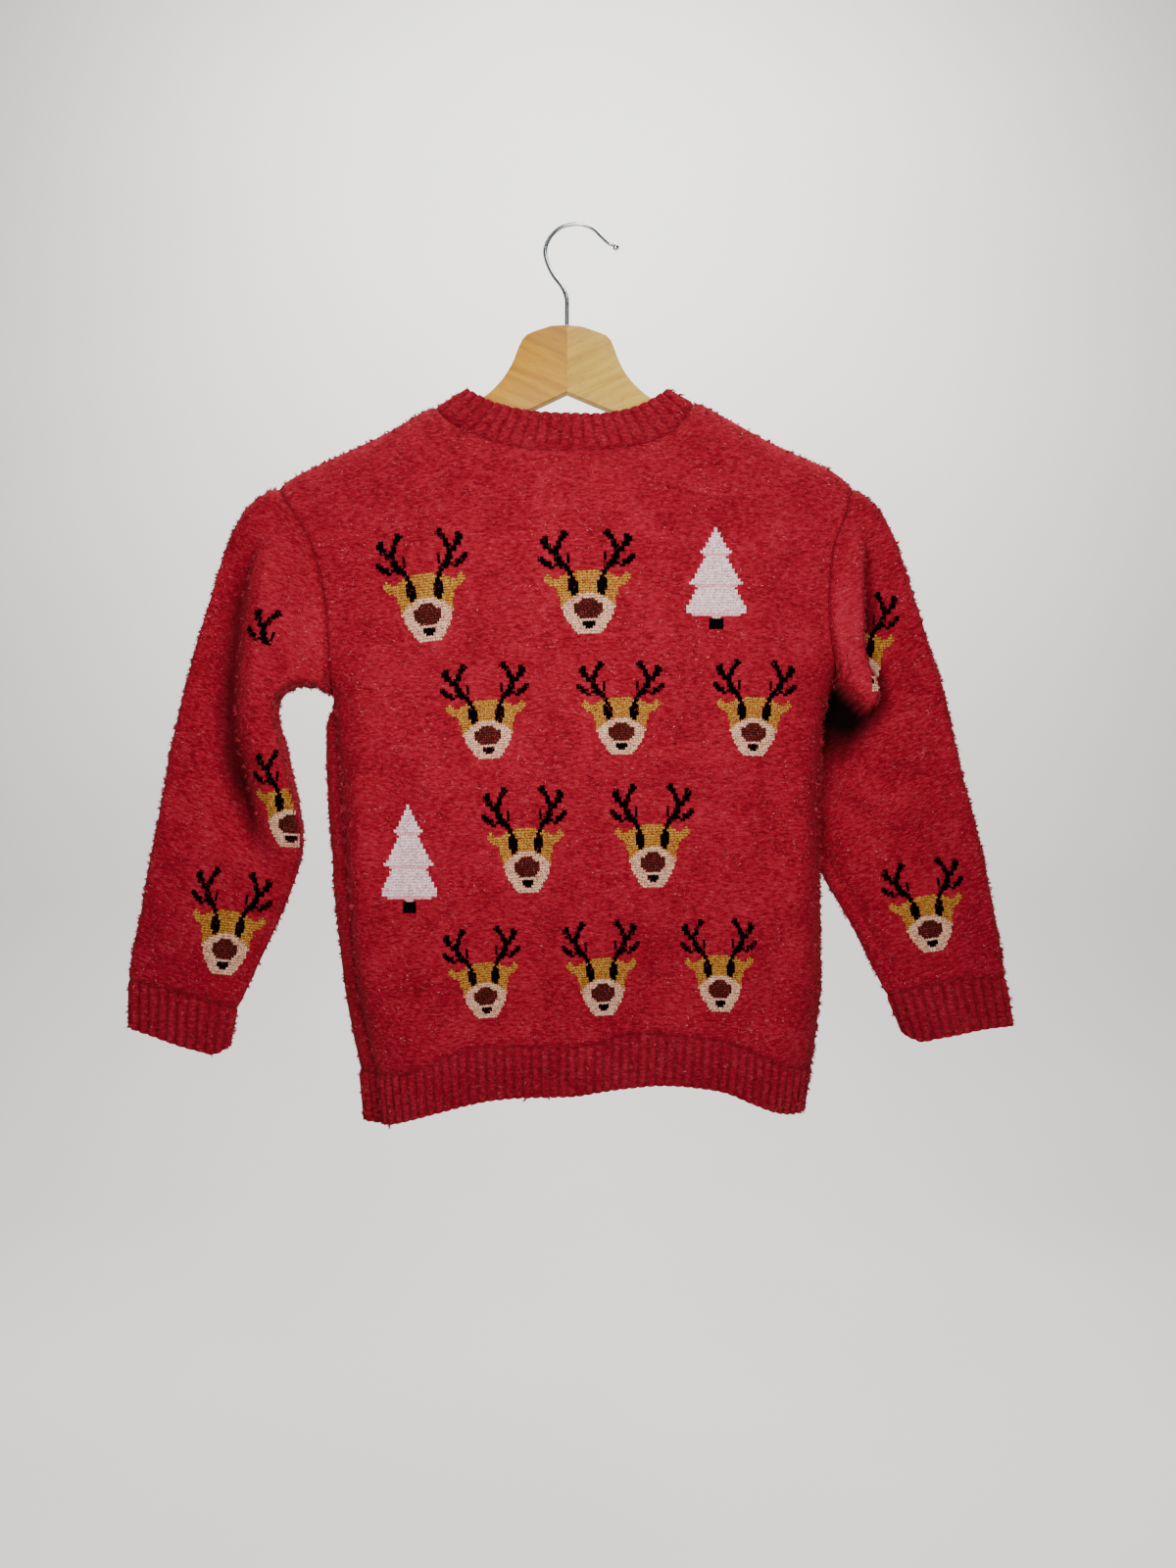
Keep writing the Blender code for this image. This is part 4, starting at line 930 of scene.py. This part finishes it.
def linear(code):
    """An sRGB hex colour as linear light."""
    parts = [int(code[i:i + 2], 16) / 255 for i in (0, 2, 4)]
    return (*[c / 12.92 if c <= 0.04045 else ((c + 0.055) / 1.055) ** 2.4 for c in parts], 1.0)


def add(tree, kind, inputs=None, stops=None, **settings):
    """Adds a node with its settings, and a value or a link for each input that is named."""
    made = tree.nodes.new("ShaderNode" + kind)
    for name, value in settings.items():
        setattr(made, name, value)
    for name, value in (inputs or {}).items():
        if isinstance(value, bpy.types.NodeSocket):
            tree.links.new(value, made.inputs[name])
        else:
            made.inputs[name].default_value = value
    if stops:
        ramp = made.color_ramp
        while len(ramp.elements) < len(stops):
            ramp.elements.new(0.5)
        for stop, (place, code) in zip(ramp.elements, stops):
            stop.position = place
            stop.color = linear(code)
    return made


def noise_on(tree, at, scale, detail, **more):
    """Noise at the given places."""
    return add(tree, "TexNoise", {"Vector": at, "Scale": scale, "Detail": detail,
                                  **more}).outputs["Fac"]


def turned(tree, at, **how):
    """Places after a Rotation or a Scale."""
    return add(tree, "Mapping", {"Vector": at, **how}).outputs["Vector"]


def worked(tree, operation, *values, clamp=False):
    """The result of a sum."""
    return add(tree, "Math", dict(enumerate(values)), operation=operation,
               use_clamp=clamp).outputs[0]


def toned(tree, share, *stops):
    """A colour between stops, each a place and an sRGB hex colour."""
    return add(tree, "ValToRGB", {"Fac": share}, stops=stops).outputs["Color"]


def laid_over(tree, share, colour, code):
    """A colour with another over it by a share."""
    return add(tree, "MixRGB", {"Fac": share, "Color1": colour,
                                "Color2": linear(code)}).outputs["Color"]


def between(tree, value, low, high, most):
    """From 0 to most while a value goes from low to high."""
    return add(tree, "MapRange", {"Value": value, "From Min": low, "From Max": high,
                                  "To Min": 0.0, "To Max": most}).outputs[0]


def bumped(tree, height, strength, size, **under):
    """A bump of a height in mm, over another one if it is given as Normal."""
    return add(tree, "Bump", {"Height": height, "Strength": strength, "Distance": size * MM,
                              **under}).outputs["Normal"]


def new_finish(name, roughness, **inputs):
    """A new material and its node tree. The inputs are the shader's own."""
    made = bpy.data.materials.new(name)
    made.use_nodes = True
    shader = made.node_tree.nodes["Principled BSDF"]
    shader.inputs["Roughness"].default_value = roughness
    for key, value in inputs.items():
        shader.inputs[key.replace("_", " ")].default_value = value
    return made, made.node_tree


def dressed(made, colour, normal=None):
    """The material, with its colour and its bump."""
    shader = made.node_tree.nodes["Principled BSDF"]
    made.node_tree.links.new(colour, shader.inputs["Base Color"])
    if normal:
        made.node_tree.links.new(normal, shader.inputs["Normal"])
    return made


def felted_wool(name, deep, red, bright, fleck, knit, turn=0.0):
    """Red wool, knitted, then washed until it felts: the stitches blur under a short nap, and
    pale fibres are spun into the red yarn. Shade is painted into its seams, rib grooves and
    hollows, and a highlight onto the sleeves' flaps."""
    made, tree = new_finish(name, 0.95, Sheen_Weight=0.06, Sheen_Roughness=0.5,
                            Sheen_Tint=linear("f04a58"), Specular_IOR_Level=0.08)
    at = add(tree, "TexCoord").outputs
    cloud = noise_on(tree, at["Object"], 30.0, 5.0, Roughness=0.6)
    # Felt that still shows its rows: each streak is about 4 mm along the row and 1.5 mm high.
    level = turned(tree, at["Object"], Rotation=(0.0, turn, 0.0))
    laid = turned(tree, level, Scale=(0.55, 1.0, 1.5))
    heather = noise_on(tree, laid, 400.0, 4.0, Roughness=0.62, Distortion=0.3)
    mottle = worked(tree, "MULTIPLY_ADD", cloud, 0.35, heather)
    # The seam attribute is painted light: above 0 shade painted at seams, in rib grooves and in
    # the hollows under the sleeves' flaps, below 0 a highlight painted on the flaps.
    seam = add(tree, "Attribute", attribute_name="seam").outputs["Fac"]
    # Painted highlight: where the seam attribute is below 0, the colour moves up towards the
    # bright red.
    painted_highlight = worked(tree, "MULTIPLY", seam, -0.5, clamp=True)
    mottle_and_highlight = worked(tree, "ADD", mottle, painted_highlight)
    ground = toned(tree, mottle_and_highlight, (0.48, deep), (0.68, red), (0.92, bright))
    spot = noise_on(tree, laid, 620.0, 1.5, Distortion=1.0)
    flecked = laid_over(tree, between(tree, spot, 0.62, 0.78, 0.26), ground, fleck)
    # Painted shade: the colour darkens to near black as far as the seam attribute is above 0.
    shade = worked(tree, "MULTIPLY", seam, 0.5, clamp=True)
    colour = laid_over(tree, shade, flecked, "0c0103")
    # Stitches 2.0 mm wide and 1.75 mm high, as leaning legs that meet in a V.
    uv = add(tree, "SeparateXYZ", {"Vector": at["UV"]}).outputs
    across = worked(tree, "FRACT", worked(tree, "MULTIPLY", uv["X"], UV_MM / WALE))
    lean = worked(tree, "ABSOLUTE", worked(tree, "SUBTRACT", across, 0.5))
    leaning = worked(tree, "MULTIPLY", lean, 1.3)
    course = worked(tree, "MULTIPLY_ADD", uv["Y"], UV_MM / COURSE, leaning)
    legs = worked(tree, "SINE", worked(tree, "MULTIPLY", course, 2 * math.pi))
    stitch = bumped(tree, legs, knit, 0.35)
    return dressed(made, colour, bumped(tree, heather, 0.65, 1.0, Normal=stitch))


def yarn(name, dark, plain, pale):
    """Wool yarn of a pattern stitch, with shade painted where it dips under the next and a
    highlight painted on its back, and with a little light and shade from fibre to fibre."""
    made, tree = new_finish(name, 0.95, Specular_IOR_Level=0.03)
    at = add(tree, "TexCoord").outputs
    fibre = noise_on(tree, at["Object"], 900.0, 3.0)
    dip = add(tree, "Attribute", attribute_name="tone").outputs["Fac"]
    tone = worked(tree, "MULTIPLY_ADD", fibre, 0.55, dip)
    colour = toned(tree, tone, (0.30, dark), (0.52, plain), (0.74, pale))
    return dressed(made, colour, bumped(tree, fibre, 0.5, 0.4))


def fibre_finish(name):
    """Loose wool fibres, from deep red to the pale ones, by each fibre's own tone."""
    made, tree = new_finish(name, 0.9, Sheen_Weight=0.1, Specular_IOR_Level=0.1)
    tone = add(tree, "Attribute", attribute_name="tone").outputs["Fac"]
    return dressed(made, toned(tree, tone, (0.0, "6d0b18"), (0.35, "961426"),
                               (0.70, "b32e42"), (0.86, "d2717e"), (1.0, "f4b2ba")))


def beech(name, dark, plain, pale, slope):
    """Steamed beech, planed and varnished: fine straight grain along the arm, with short dark
    flecks, under a satin coat."""
    made, tree = new_finish(name, 0.5, Coat_Weight=0.1, Coat_Roughness=0.35)
    at = add(tree, "TexCoord").outputs
    laid = turned(tree, at["Object"], Rotation=(0.0, slope, 0.0))
    grain = turned(tree, laid, Scale=(1.0, 8.0, 14.0))
    band = noise_on(tree, grain, 9.0, 4.0, Distortion=0.6)
    colour = toned(tree, band, (0.30, dark), (0.52, plain), (0.75, pale))
    pore = noise_on(tree, turned(tree, laid, Scale=(180.0, 1400.0, 1400.0)), 1.0, 1.0)
    marked = laid_over(tree, between(tree, pore, 0.62, 0.70, 0.45), colour, "8a5a2c")
    return dressed(made, marked, bumped(tree, pore, 0.15, 0.1))


def chromed_wire(name):
    """Chromed steel wire: bright, with faint drawing marks along it."""
    made, tree = new_finish(name, 0.22, Metallic=1.0)
    at = add(tree, "TexCoord").outputs
    mark = noise_on(tree, at["Object"], 300.0, 2.0)
    return dressed(made, toned(tree, mark, (0.3, "a9adb2"), (0.7, "dfe2e4")))


# ---------------------------------------------------------------- nap and stitches

STITCH = ((0, 1, 2), (0, 2, 3), (4, 2, 1), (4, 3, 2))   # faces of a stitch with a raised back


def joined(name, points, faces, finish, tone):
    """One mesh of many small pieces: points per piece, and the faces of a single one."""
    pieces, each = points.shape[:2]
    starts = (np.arange(pieces) * each).tolist()
    listed = [tuple(start + corner for corner in face) for start in starts for face in faces]
    mesh = bpy.data.meshes.new(name)
    mesh.from_pydata((points.reshape(-1, 3) * MM).tolist(), [], listed)
    mesh.shade_smooth()
    if tone.ndim == 1:
        tone = np.repeat(tone, each)
    layer = mesh.attributes.new("tone", "FLOAT", "POINT")
    layer.data.foreach_set("value", tone.ravel().astype(np.float32))
    return piece_of(name, mesh, finish)


def along_cloth(vectors, normals):
    """The part of each vector that lies along the cloth."""
    return vectors - normals * np.sum(vectors * normals, axis=1, keepdims=True)


def read(items, key, kind=float, width=1):
    """One value, or one vector, of each of a mesh's items."""
    values = np.empty(width * len(items), kind)
    items.foreach_get(key, values)
    return values.reshape(-1, width) if width > 1 else values


def outer_faces(piece):
    """Centres, normals and open areas of the faces on a knitted piece's outer skin, in mm. A
    face counts less where shade is painted on it in a seam or a fold, and more where a
    highlight is painted on it."""
    shown = piece.evaluated_get(bpy.context.evaluated_depsgraph_get())
    mesh = shown.to_mesh()
    count = 4 * len(piece.data.polygons)
    centres, normals = (read(mesh.polygons, key, width=3)[:count]
                        for key in ("center", "normal"))
    areas = read(mesh.polygons, "area")[:count]
    starts = read(mesh.polygons, "loop_start", int)[:count]
    corners = read(mesh.loops, "vertex_index", int)
    painted_light = read(mesh.attributes["seam"].data, "value")
    shown.to_mesh_clear()
    open_share = 1.0 - np.clip(2.0 * painted_light[corners[starts]], -0.6, 1.0)
    return centres / MM, normals, areas / MM ** 2 * open_share


def ribbons(name, root, middle, tip, across, narrow, finish, tone):
    """Fibres as flat ribbons: two steps that end in a point."""
    points = np.stack([root - across, root + across, middle + across * narrow,
                       middle - across * narrow, tip], axis=1)
    return joined(name, points, ((0, 1, 2, 3), (3, 2, 4)), finish, tone)


def fuzz(name, piece, finish, per_cm2, seed, length, width, rise, tones, drifts, motifs):
    """Loose fibres on a piece, which lie mostly along the rows. Few lie over the pattern motifs,
    or on the folded edges."""
    rng = np.random.default_rng(seed)
    centres, normals, areas = outer_faces(piece)
    areas = areas * np.clip(1.0 + wander(centres, DRIFT_SIZE, 5, drifts), 0.0, None)
    on_motif = np.array([motifs.find(Vector(centre))[2] < MOTIF_REACH for centre in centres])
    areas = (areas * np.where(on_motif, MOTIF_SHARE, 1.0)
             * (EDGE_SHARE + (1.0 - EDGE_SHARE) * np.abs(normals[:, 1])))
    count = int(areas.sum() / 100.0 * per_cm2)
    pick = rng.choice(len(areas), count, p=areas / areas.sum())
    n = normals[pick]
    along = unit(along_cloth(rng.normal(size=(count, 3)) * (1.0, 1.0, 0.6), n))
    side = np.cross(n, along)
    size = np.sqrt(areas[pick])[:, None]
    root = (centres[pick] + along * rng.uniform(-0.5, 0.5, (count, 1)) * size
            + side * rng.uniform(-0.5, 0.5, (count, 1)) * size - 0.25 * n)
    long = rng.uniform(*length, (count, 1))
    up = np.radians(rng.uniform(*rise, (count, 1)))
    down = up * rng.uniform(-0.3, 0.8, (count, 1))
    curl = rng.normal(0.0, 0.5, (count, 1))
    middle = root + 0.5 * long * (along * np.cos(up) + n * np.sin(up))
    tip = middle + 0.5 * long * (unit(along + side * curl) * np.cos(down) + n * np.sin(down))
    across = unit(side + n * rng.normal(0.0, 0.7, (count, 1))) * rng.uniform(*width, (count, 1))
    low, high = tones
    tone = low + (high - low) * rng.random(count)
    return ribbons(name, root, middle, tip, across, 0.8, finish, tone)


def tufts(name, piece, finish, seed):
    """Small clumps of felted wool that stand off a piece, most of them along its folded edges,
    where the cloth is rubbed: each a bunch of fibres."""
    rng = np.random.default_rng(seed)
    centres, normals, areas = outer_faces(piece)
    edge = areas * (1.0 - np.abs(normals[:, 1])) ** 2
    count = int(edge.sum() / 100.0 * TUFTS)

    def bunched(values):
        return np.repeat(values, TUFT_FIBRES, axis=0)

    pick = bunched(rng.choice(len(areas), count, p=edge / edge.sum()))
    total = len(pick)
    n = normals[pick]
    lean = bunched(unit(rng.normal(size=(count, 3)) + (0.0, 0.0, -0.8)))
    spread = rng.normal(size=(total, 3))
    way = unit(n * 0.7 + 0.7 * along_cloth(lean, n) + 0.5 * spread)
    offset = bunched(rng.uniform(-0.5, 0.5, (count, 3))) * np.sqrt(areas[pick])[:, None]
    offset += rng.normal(0.0, 0.6, (total, 3))
    root = centres[pick] + offset - n * np.sum(offset * n, axis=1, keepdims=True) - 0.4 * n
    long = bunched(rng.uniform(0.6, 1.3, (count, 1))) * rng.uniform(*TUFT_LENGTH, (total, 1))
    across = unit(np.cross(way, spread)) * rng.uniform(*TUFT_HALF, (total, 1))
    middle = root + 0.5 * long * way
    tip = middle + 0.5 * long * unit(way + 0.9 * rng.normal(size=(total, 3)))
    tone = bunched(rng.uniform(0.1, 0.5, count)) + rng.uniform(0, 0.2, total)
    return ribbons(name, root, middle, tip, across, 0.9, finish, tone)


def chart_rows(half):
    """A whole chart from its left half: each row goes on as its own mirror image."""
    return [row + row[-2::-1] for row in half.split()]


CHARTS = {"deer": chart_rows(DEER), "fir": chart_rows(FIR),
          "antler": [row[:13] for row in DEER.split()[:15]]}

def cloth_at(tree, side, x, z):
    """The point of a piece's front or back at x and z, in metres, and its normal, or None."""
    start = Vector((x, RAY_START * side, z)) * MM
    return tree.ray_cast(start, Vector((0.0, -side, 0.0)), RAY_LENGTH)[:2]


def stitch_places(trees):
    """Places, frames and sizes of the pattern stitches, gathered by their yarn."""
    found = {}
    rows = [(*where, *row) for where, listed in MOTIFS.items() for row in listed]
    for piece, side, drawn, mid_x, mid_z, tilt, width, height, *least_x in rows:
        chart, tilt = CHARTS[drawn], math.radians(tilt)
        wale, course = width / len(chart[0]), height / len(chart)
        right = Vector((math.cos(tilt), 0.0, math.sin(tilt)))
        down = Vector((math.sin(tilt), 0.0, -math.cos(tilt)))
        for i, j in np.ndindex(len(chart), len(chart[0])):
            off = (right * (j - (len(chart[0]) - 1) / 2) * wale
                   + down * (i - (len(chart) - 1) / 2) * course)
            x, z = mid_x + off.x, mid_z + off.z
            if chart[i][j] == "." or any(x < least for least in least_x):
                continue
            hit, normal = cloth_at(trees[piece], side, x, z)
            if hit is None or normal.y * side < FACING:
                continue
            way = (down - normal * down.dot(normal)).normalized()
            found.setdefault(chart[i][j], []).append(
                (*(hit / MM), *normal, *way, wale, course))
    return {code: np.array(places) for code, places in found.items()}


def stray_hairs(name, places, finish, share, seed):
    """Red fibres of the ground that lie over the pattern stitches."""
    rng = np.random.default_rng(seed)
    at = places[rng.random(len(places)) < share]
    normal, count = at[:, 3:6], len(at)
    along = unit(along_cloth(rng.normal(size=(count, 3)), normal))
    side = np.cross(normal, along) * rng.uniform(*STRAY_HALF, (count, 1))
    long = rng.uniform(*STRAY_LENGTH, (count, 1)) * along
    middle = at[:, 0:3] + 0.8 * normal
    points = np.stack([middle - long - 0.5 * normal, middle + side,
                       middle + long - 0.5 * normal, middle - side], axis=1)
    return joined(name, points, ((0, 1, 3), (1, 2, 3)), finish, rng.uniform(0.2, 0.75, count))


def seam_threads(name, trees, routes, finish, seed):
    """The crooked rows of sewing along the seams: short dark stitches, end to end."""
    rng = np.random.default_rng(seed)
    parts = []
    for route in routes:
        route = np.asarray(route, float)
        total = walked(route)[-1]
        for share in np.arange(0.5, total / THREAD_STEP) * THREAD_STEP / total:
            (x, z), ahead = ([np.interp(place, lengths(route), column) for column in route.T]
                             for place in (share, share + 0.01))
            off = x + rng.normal(0.0, 0.35)
            hits = [cloth_at(tree, BACK, off, z) for tree in trees]
            hits = [hit for hit in hits if hit[0] is not None]
            if not hits:
                continue
            hit, normal = max(hits, key=lambda found: found[0].y * BACK)
            way = Vector((ahead[0] - x + rng.normal(0.0, 0.12), 0.0, ahead[1] - z)).normalized()
            way = (way - normal * way.dot(normal)).normalized()
            wide = normal.cross(way) * THREAD_HALF * rng.uniform(0.7, 1.3)
            at = hit / MM - 0.1 * normal
            long = way * THREAD_STEP * rng.uniform(0.45, 0.75)
            parts.append([at - long, at + wide, at + 0.35 * normal, at - wide, at + long])
    return joined(name, np.array(parts), STITCH, finish, np.full(len(parts), 0.2))


def stitches(name, places, finish, seed):
    """Knit stitches that stand a little proud: two plump legs that meet in a V, on a felted pad
    of their own yarn, so that no red shows between them."""
    rng = np.random.default_rng(seed)
    at, normal, down = places[:, 0:3], places[:, 3:6], places[:, 6:9]
    wale, course = places[:, 9:10], places[:, 10:11]
    across = np.cross(normal, down)
    each = (len(at), 1)
    legs, tones = [], []
    for side in (-1.0, 1.0):
        lean = side * LEG_LEAN + rng.normal(0.0, 0.07, each)
        middle = (at + side * 0.25 * wale * across + 0.15 * normal
                  + rng.normal(0.0, 0.16, each) * down + rng.normal(0.0, 0.10, each) * across)
        half = LEG_LONG * course * down - lean * wale * across
        half = half * rng.uniform(0.82, 1.18, each)
        wide = unit(np.cross(half, normal)) * LEG_WIDE * wale * rng.uniform(0.75, 1.15, each)
        high = LEG_HIGH * normal * rng.uniform(0.7, 1.2, each)
        legs.append(np.stack([middle - half, middle + wide, middle + high, middle - wide,
                              middle + half], axis=1))
        # Painted shade at each leg's ends, where it dips under the next stitch, and a painted
        # highlight on its middle.
        tones.append(rng.normal(0.0, 0.05, each) + PAINTED_STITCH_LIGHT)
    long, wide, up = PAD_LONG * course * down, PAD_WIDE * wale * across, PAD_HIGH * normal
    low = at + 0.12 * normal
    legs.append(np.stack([low - long - wide, low - long + wide, at + up, low + long - wide,
                          low + long + wide], axis=1))
    # The pad has the legs' darkest painted shade, as it lies under them.
    tones.append(np.full((len(at), 5), PAINTED_STITCH_LIGHT[0]))
    return joined(name, np.concatenate(legs), STITCH, finish, np.concatenate(tones))


# ---------------------------------------------------------------- hanger, hook and studio

def raised_by(bm, drawn, vec):
    """Moves the new vertices of an extrusion."""
    bmesh.ops.translate(bm, vec=vec,
                        verts=[v for v in drawn["geom"] if isinstance(v, bmesh.types.BMVert)])


def board(name, node, outline, joint_x, finish):
    """A sawn board with rounded edges: a smooth outline, straight at the glue joint."""
    smooth = smooth_curve(outline, np.linspace(0.0, 1.0, BOARD_POINTS))
    points = [(joint_x, HANGER_TOP_Z), *smooth, (joint_x, HANGER_APEX_Z)]
    bm = bmesh.new()
    face = bm.faces.new([bm.verts.new(Vector((x, -0.5 * HANGER_THICK, z)) * MM)
                         for x, z in points])
    raised_by(bm, bmesh.ops.extrude_face_region(bm, geom=[face]), (0.0, HANGER_THICK * MM, 0.0))
    bmesh.ops.recalc_face_normals(bm, faces=bm.faces[:])
    rims = [edge for edge in bm.edges
            if len(edge.link_faces) == 2 and edge.calc_face_angle() > math.radians(60)
            and not all(abs(v.co.x / MM - joint_x) < 0.01 for v in edge.verts)]
    bmesh.ops.bevel(bm, geom=rims, offset=HANGER_EDGE * MM, segments=3, profile=0.5,
                    affect="EDGES", material=-1, clamp_overlap=True)
    mesh = mesh_of(name, bm)
    mesh.set_sharp_from_angle(angle=math.radians(50))
    return piece_of(name, mesh, finish, node)


def wire_hook(name, finish):
    """The hook: drawn wire bent to a question mark, with a small ball on its tip."""
    route = smooth_curve(HOOK_ROUTE, np.linspace(0.0, 1.0, WIRE_POINTS))
    way = (route[-1] - route[-2]) / np.linalg.norm(route[-1] - route[-2])
    ball = 0.5 * BALL
    points = list(route[:-1]) + [route[-1] + way * ball * place for place, _ in BALL_SHAPE]
    radii = [0.5 * WIRE] * (len(route) - 1) + [ball * width for _, width in BALL_SHAPE]
    curve = bpy.data.curves.new(name, "CURVE")
    curve.dimensions = "3D"
    curve.bevel_depth = MM
    curve.bevel_resolution = 4
    curve.use_fill_caps = True
    spline = curve.splines.new("POLY")
    spline.points.add(len(points) - 1)
    for point, (x, z), radius in zip(spline.points, points, radii):
        point.co = (x * MM, 0.0, z * MM, 1.0)
        point.radius = radius
    spline.use_smooth = True
    return piece_of(name, curve, finish, "hook")


def studio():
    """The camera, a pale floor with a pale wall far behind, and soft light from above."""
    eye = bpy.data.cameras.new("camera")
    eye.sensor_width = 32.0
    eye.lens = 24.0
    camera = linked("camera", eye)
    camera.location = CAMERA_PLACE
    camera.rotation_euler = (math.radians(90), 0.0, 0.0)
    bpy.context.scene.camera = camera

    paint, tree = new_finish("pale_matt_paint", 0.9)
    at = add(tree, "TexCoord").outputs
    mottle = noise_on(tree, at["Object"], 1.2, 2.0)
    dressed(paint, toned(tree, mottle, (0.3, "dcdbd8"), (0.7, "e2e1de")))
    bm = bmesh.new()
    bmesh.ops.create_grid(bm, x_segments=1, y_segments=1, size=FLOOR_HALF)
    bmesh.ops.translate(bm, vec=(0.0, 0.0, FLOOR_Z), verts=bm.verts[:])
    far = [edge for edge in bm.edges if all(v.co.y > 0 for v in edge.verts)]
    raised_by(bm, bmesh.ops.extrude_edge_only(bm, edges=far), (0.0, 0.0, WALL_HEIGHT))
    bend = [edge for edge in bm.edges if len(edge.link_faces) == 2]
    bmesh.ops.bevel(bm, geom=bend, offset=WALL_ROUND, segments=12, profile=0.5,
                    affect="EDGES", material=-1)
    mesh = mesh_of("floor_and_wall", bm)
    mesh.materials.append(paint)
    linked("floor_and_wall", mesh)

    for name, energy, size, place, aim in LIGHTS:
        light = bpy.data.lights.new(name, "AREA")
        light.energy = energy
        light.size = size
        light.color = LAMP_COLOUR
        lamp = linked(name, light)
        lamp.location = place
        lamp.rotation_euler = (Vector(aim) - Vector(place)).to_track_quat("-Z", "Y").to_euler()
    world = bpy.data.worlds.new("studio")
    world.use_nodes = True
    sky = world.node_tree.nodes["Background"].inputs
    sky["Color"].default_value = SKY_COLOUR
    sky["Strength"].default_value = SKY_STRENGTH
    bpy.context.scene.world = world


# ---------------------------------------------------------------- the whole garment

def sweater():
    """The knitted pieces, by the solid that each stands for, and the near side's seams."""
    back = body_panel(BACK, NECK_SEAM_BACK, HEM_SEAM_BACK)
    front = body_panel(FRONT, NECK_SEAM_FRONT, HEM_SEAM_FRONT)
    armhole = slice(0, UNDERARM + 1)
    left = sleeve_sections(SLEEVE_LEFT, back[armhole, 0], front[armhole, 0])
    right = sleeve_sections(SLEEVE_RIGHT, back[armhole, -1], front[armhole, -1])
    neck_start = len(SHOULDER_STEPS) - 1
    neck = slice(neck_start, neck_start + len(NECK_STEPS))

    wool, wool_left, wool_right = (
        felted_wool("felted_red_wool" + name, "640814", "8c1021", "a62438", "cc7c86", 0.30,
                    math.radians(turn))
        for name, turn in (("", 0.0), ("_left_sleeve", -20.0), ("_right_sleeve", 20.0)))
    rib_wool = felted_wool("ribbed_red_wool", "6c0816", "8a1223", "9e2837", "c07080", 0.35)
    # name, node, points, ring, turned so that the outer side is outwards, finish, rib pitch
    cloth = (
        ("back_panel_knit", "back_panel", back, False, False, wool, None),
        ("front_panel_knit", "front_panel", front, False, True, wool, None),
        ("sleeve_left_knit", "sleeve_left", left, True, False, wool_left, None),
        ("sleeve_right_knit", "sleeve_right", right, True, True, wool_right, None),
        ("neckband_rib", "neckband", neckband_sections(back[0, neck], front[0, neck]), True,
         True, rib_wool, NECK_RIB_PITCH),
        ("hem_rib_back_knit", "hem_rib_back", hem_sections(BACK, back[-1], HEM_EDGE_BACK),
         False, False, rib_wool, BODY_RIB_PITCH),
        ("hem_rib_front_knit", "hem_rib_front",
         hem_sections(FRONT, front[-1], HEM_EDGE_FRONT), False, True, rib_wool,
         BODY_RIB_PITCH),
        ("cuff_left_rib", "cuff_left", cuff_sections(left[-1], "left"), True, False, rib_wool,
         CUFF_RIB_PITCH),
        ("cuff_right_rib", "cuff_right", cuff_sections(right[-1], "right"), True, True,
         rib_wool, CUFF_RIB_PITCH),
    )
    seams = [line[:, [0, 2]] for line in (back[armhole, 0], back[armhole, -1],
                                          back[UNDERARM:, 0])]
    return {node: knitted(name, node, grid[:, ::-1] if turned_over else grid, ring, finish,
                          pitch)
            for name, node, grid, ring, turned_over, finish, pitch in cloth}, seams


def pattern(trees, loose):
    """The pattern's stitches, with the loose hairs over them, and a tree of their places."""
    found = stitch_places(trees)
    motifs = KDTree(sum(len(places) for places in found.values()))
    for number, place in enumerate(np.concatenate(list(found.values()))[:, 0:3]):
        motifs.insert(Vector(place), number)
    motifs.balance()
    for number, (code, places) in enumerate(sorted(found.items())):
        name, yarn_name, dark, plain, pale, hairs = YARNS[code]
        stitches(name, places, yarn(yarn_name, dark, plain, pale), 40 + number)
        stray_hairs(name + "_hairs", places, loose, hairs, 80 + number)
    return motifs


def main():
    pieces, seams = sweater()
    loose = fibre_finish("loose_wool")
    depsgraph = bpy.context.evaluated_depsgraph_get()
    trees = {node: BVHTree.FromObject(piece, depsgraph) for node, piece in pieces.items()}
    motifs = pattern(trees, loose)
    sewn = [trees[node] for node in ("back_panel", "sleeve_left", "sleeve_right", "cuff_right")]
    seam_threads("seam_sewing", sewn, [*seams, *SEWN_LINES],
                 yarn("seam_thread", "26040a", "3a0810", "5a101c"), 7)

    for number, (node, piece) in enumerate(pieces.items()):
        for per_cm2, (name, seed, *shape) in zip(NAP.get(node, RIB_NAP), FIBRES):
            fuzz(name + node, piece, loose, per_cm2, seed + number, *shape, motifs)
        tufts("tufts_" + node, piece, loose, 60 + number)

    slope = math.radians(HANGER_SLOPE)
    board("hanger_left_board", "hanger_left", HANGER_LEFT, HANGER_JOINT_X - HANGER_GLUE,
          beech("warm_beech", "a86e08", "c0860c", "d29c1e", -slope))
    board("hanger_right_board", "hanger_right", HANGER_RIGHT, HANGER_JOINT_X + HANGER_GLUE,
          beech("pale_beech", "b98a20", "cca02a", "dab440", slope))
    wire_hook("hook_wire", chromed_wire("chromed_wire"))
    studio()


main()
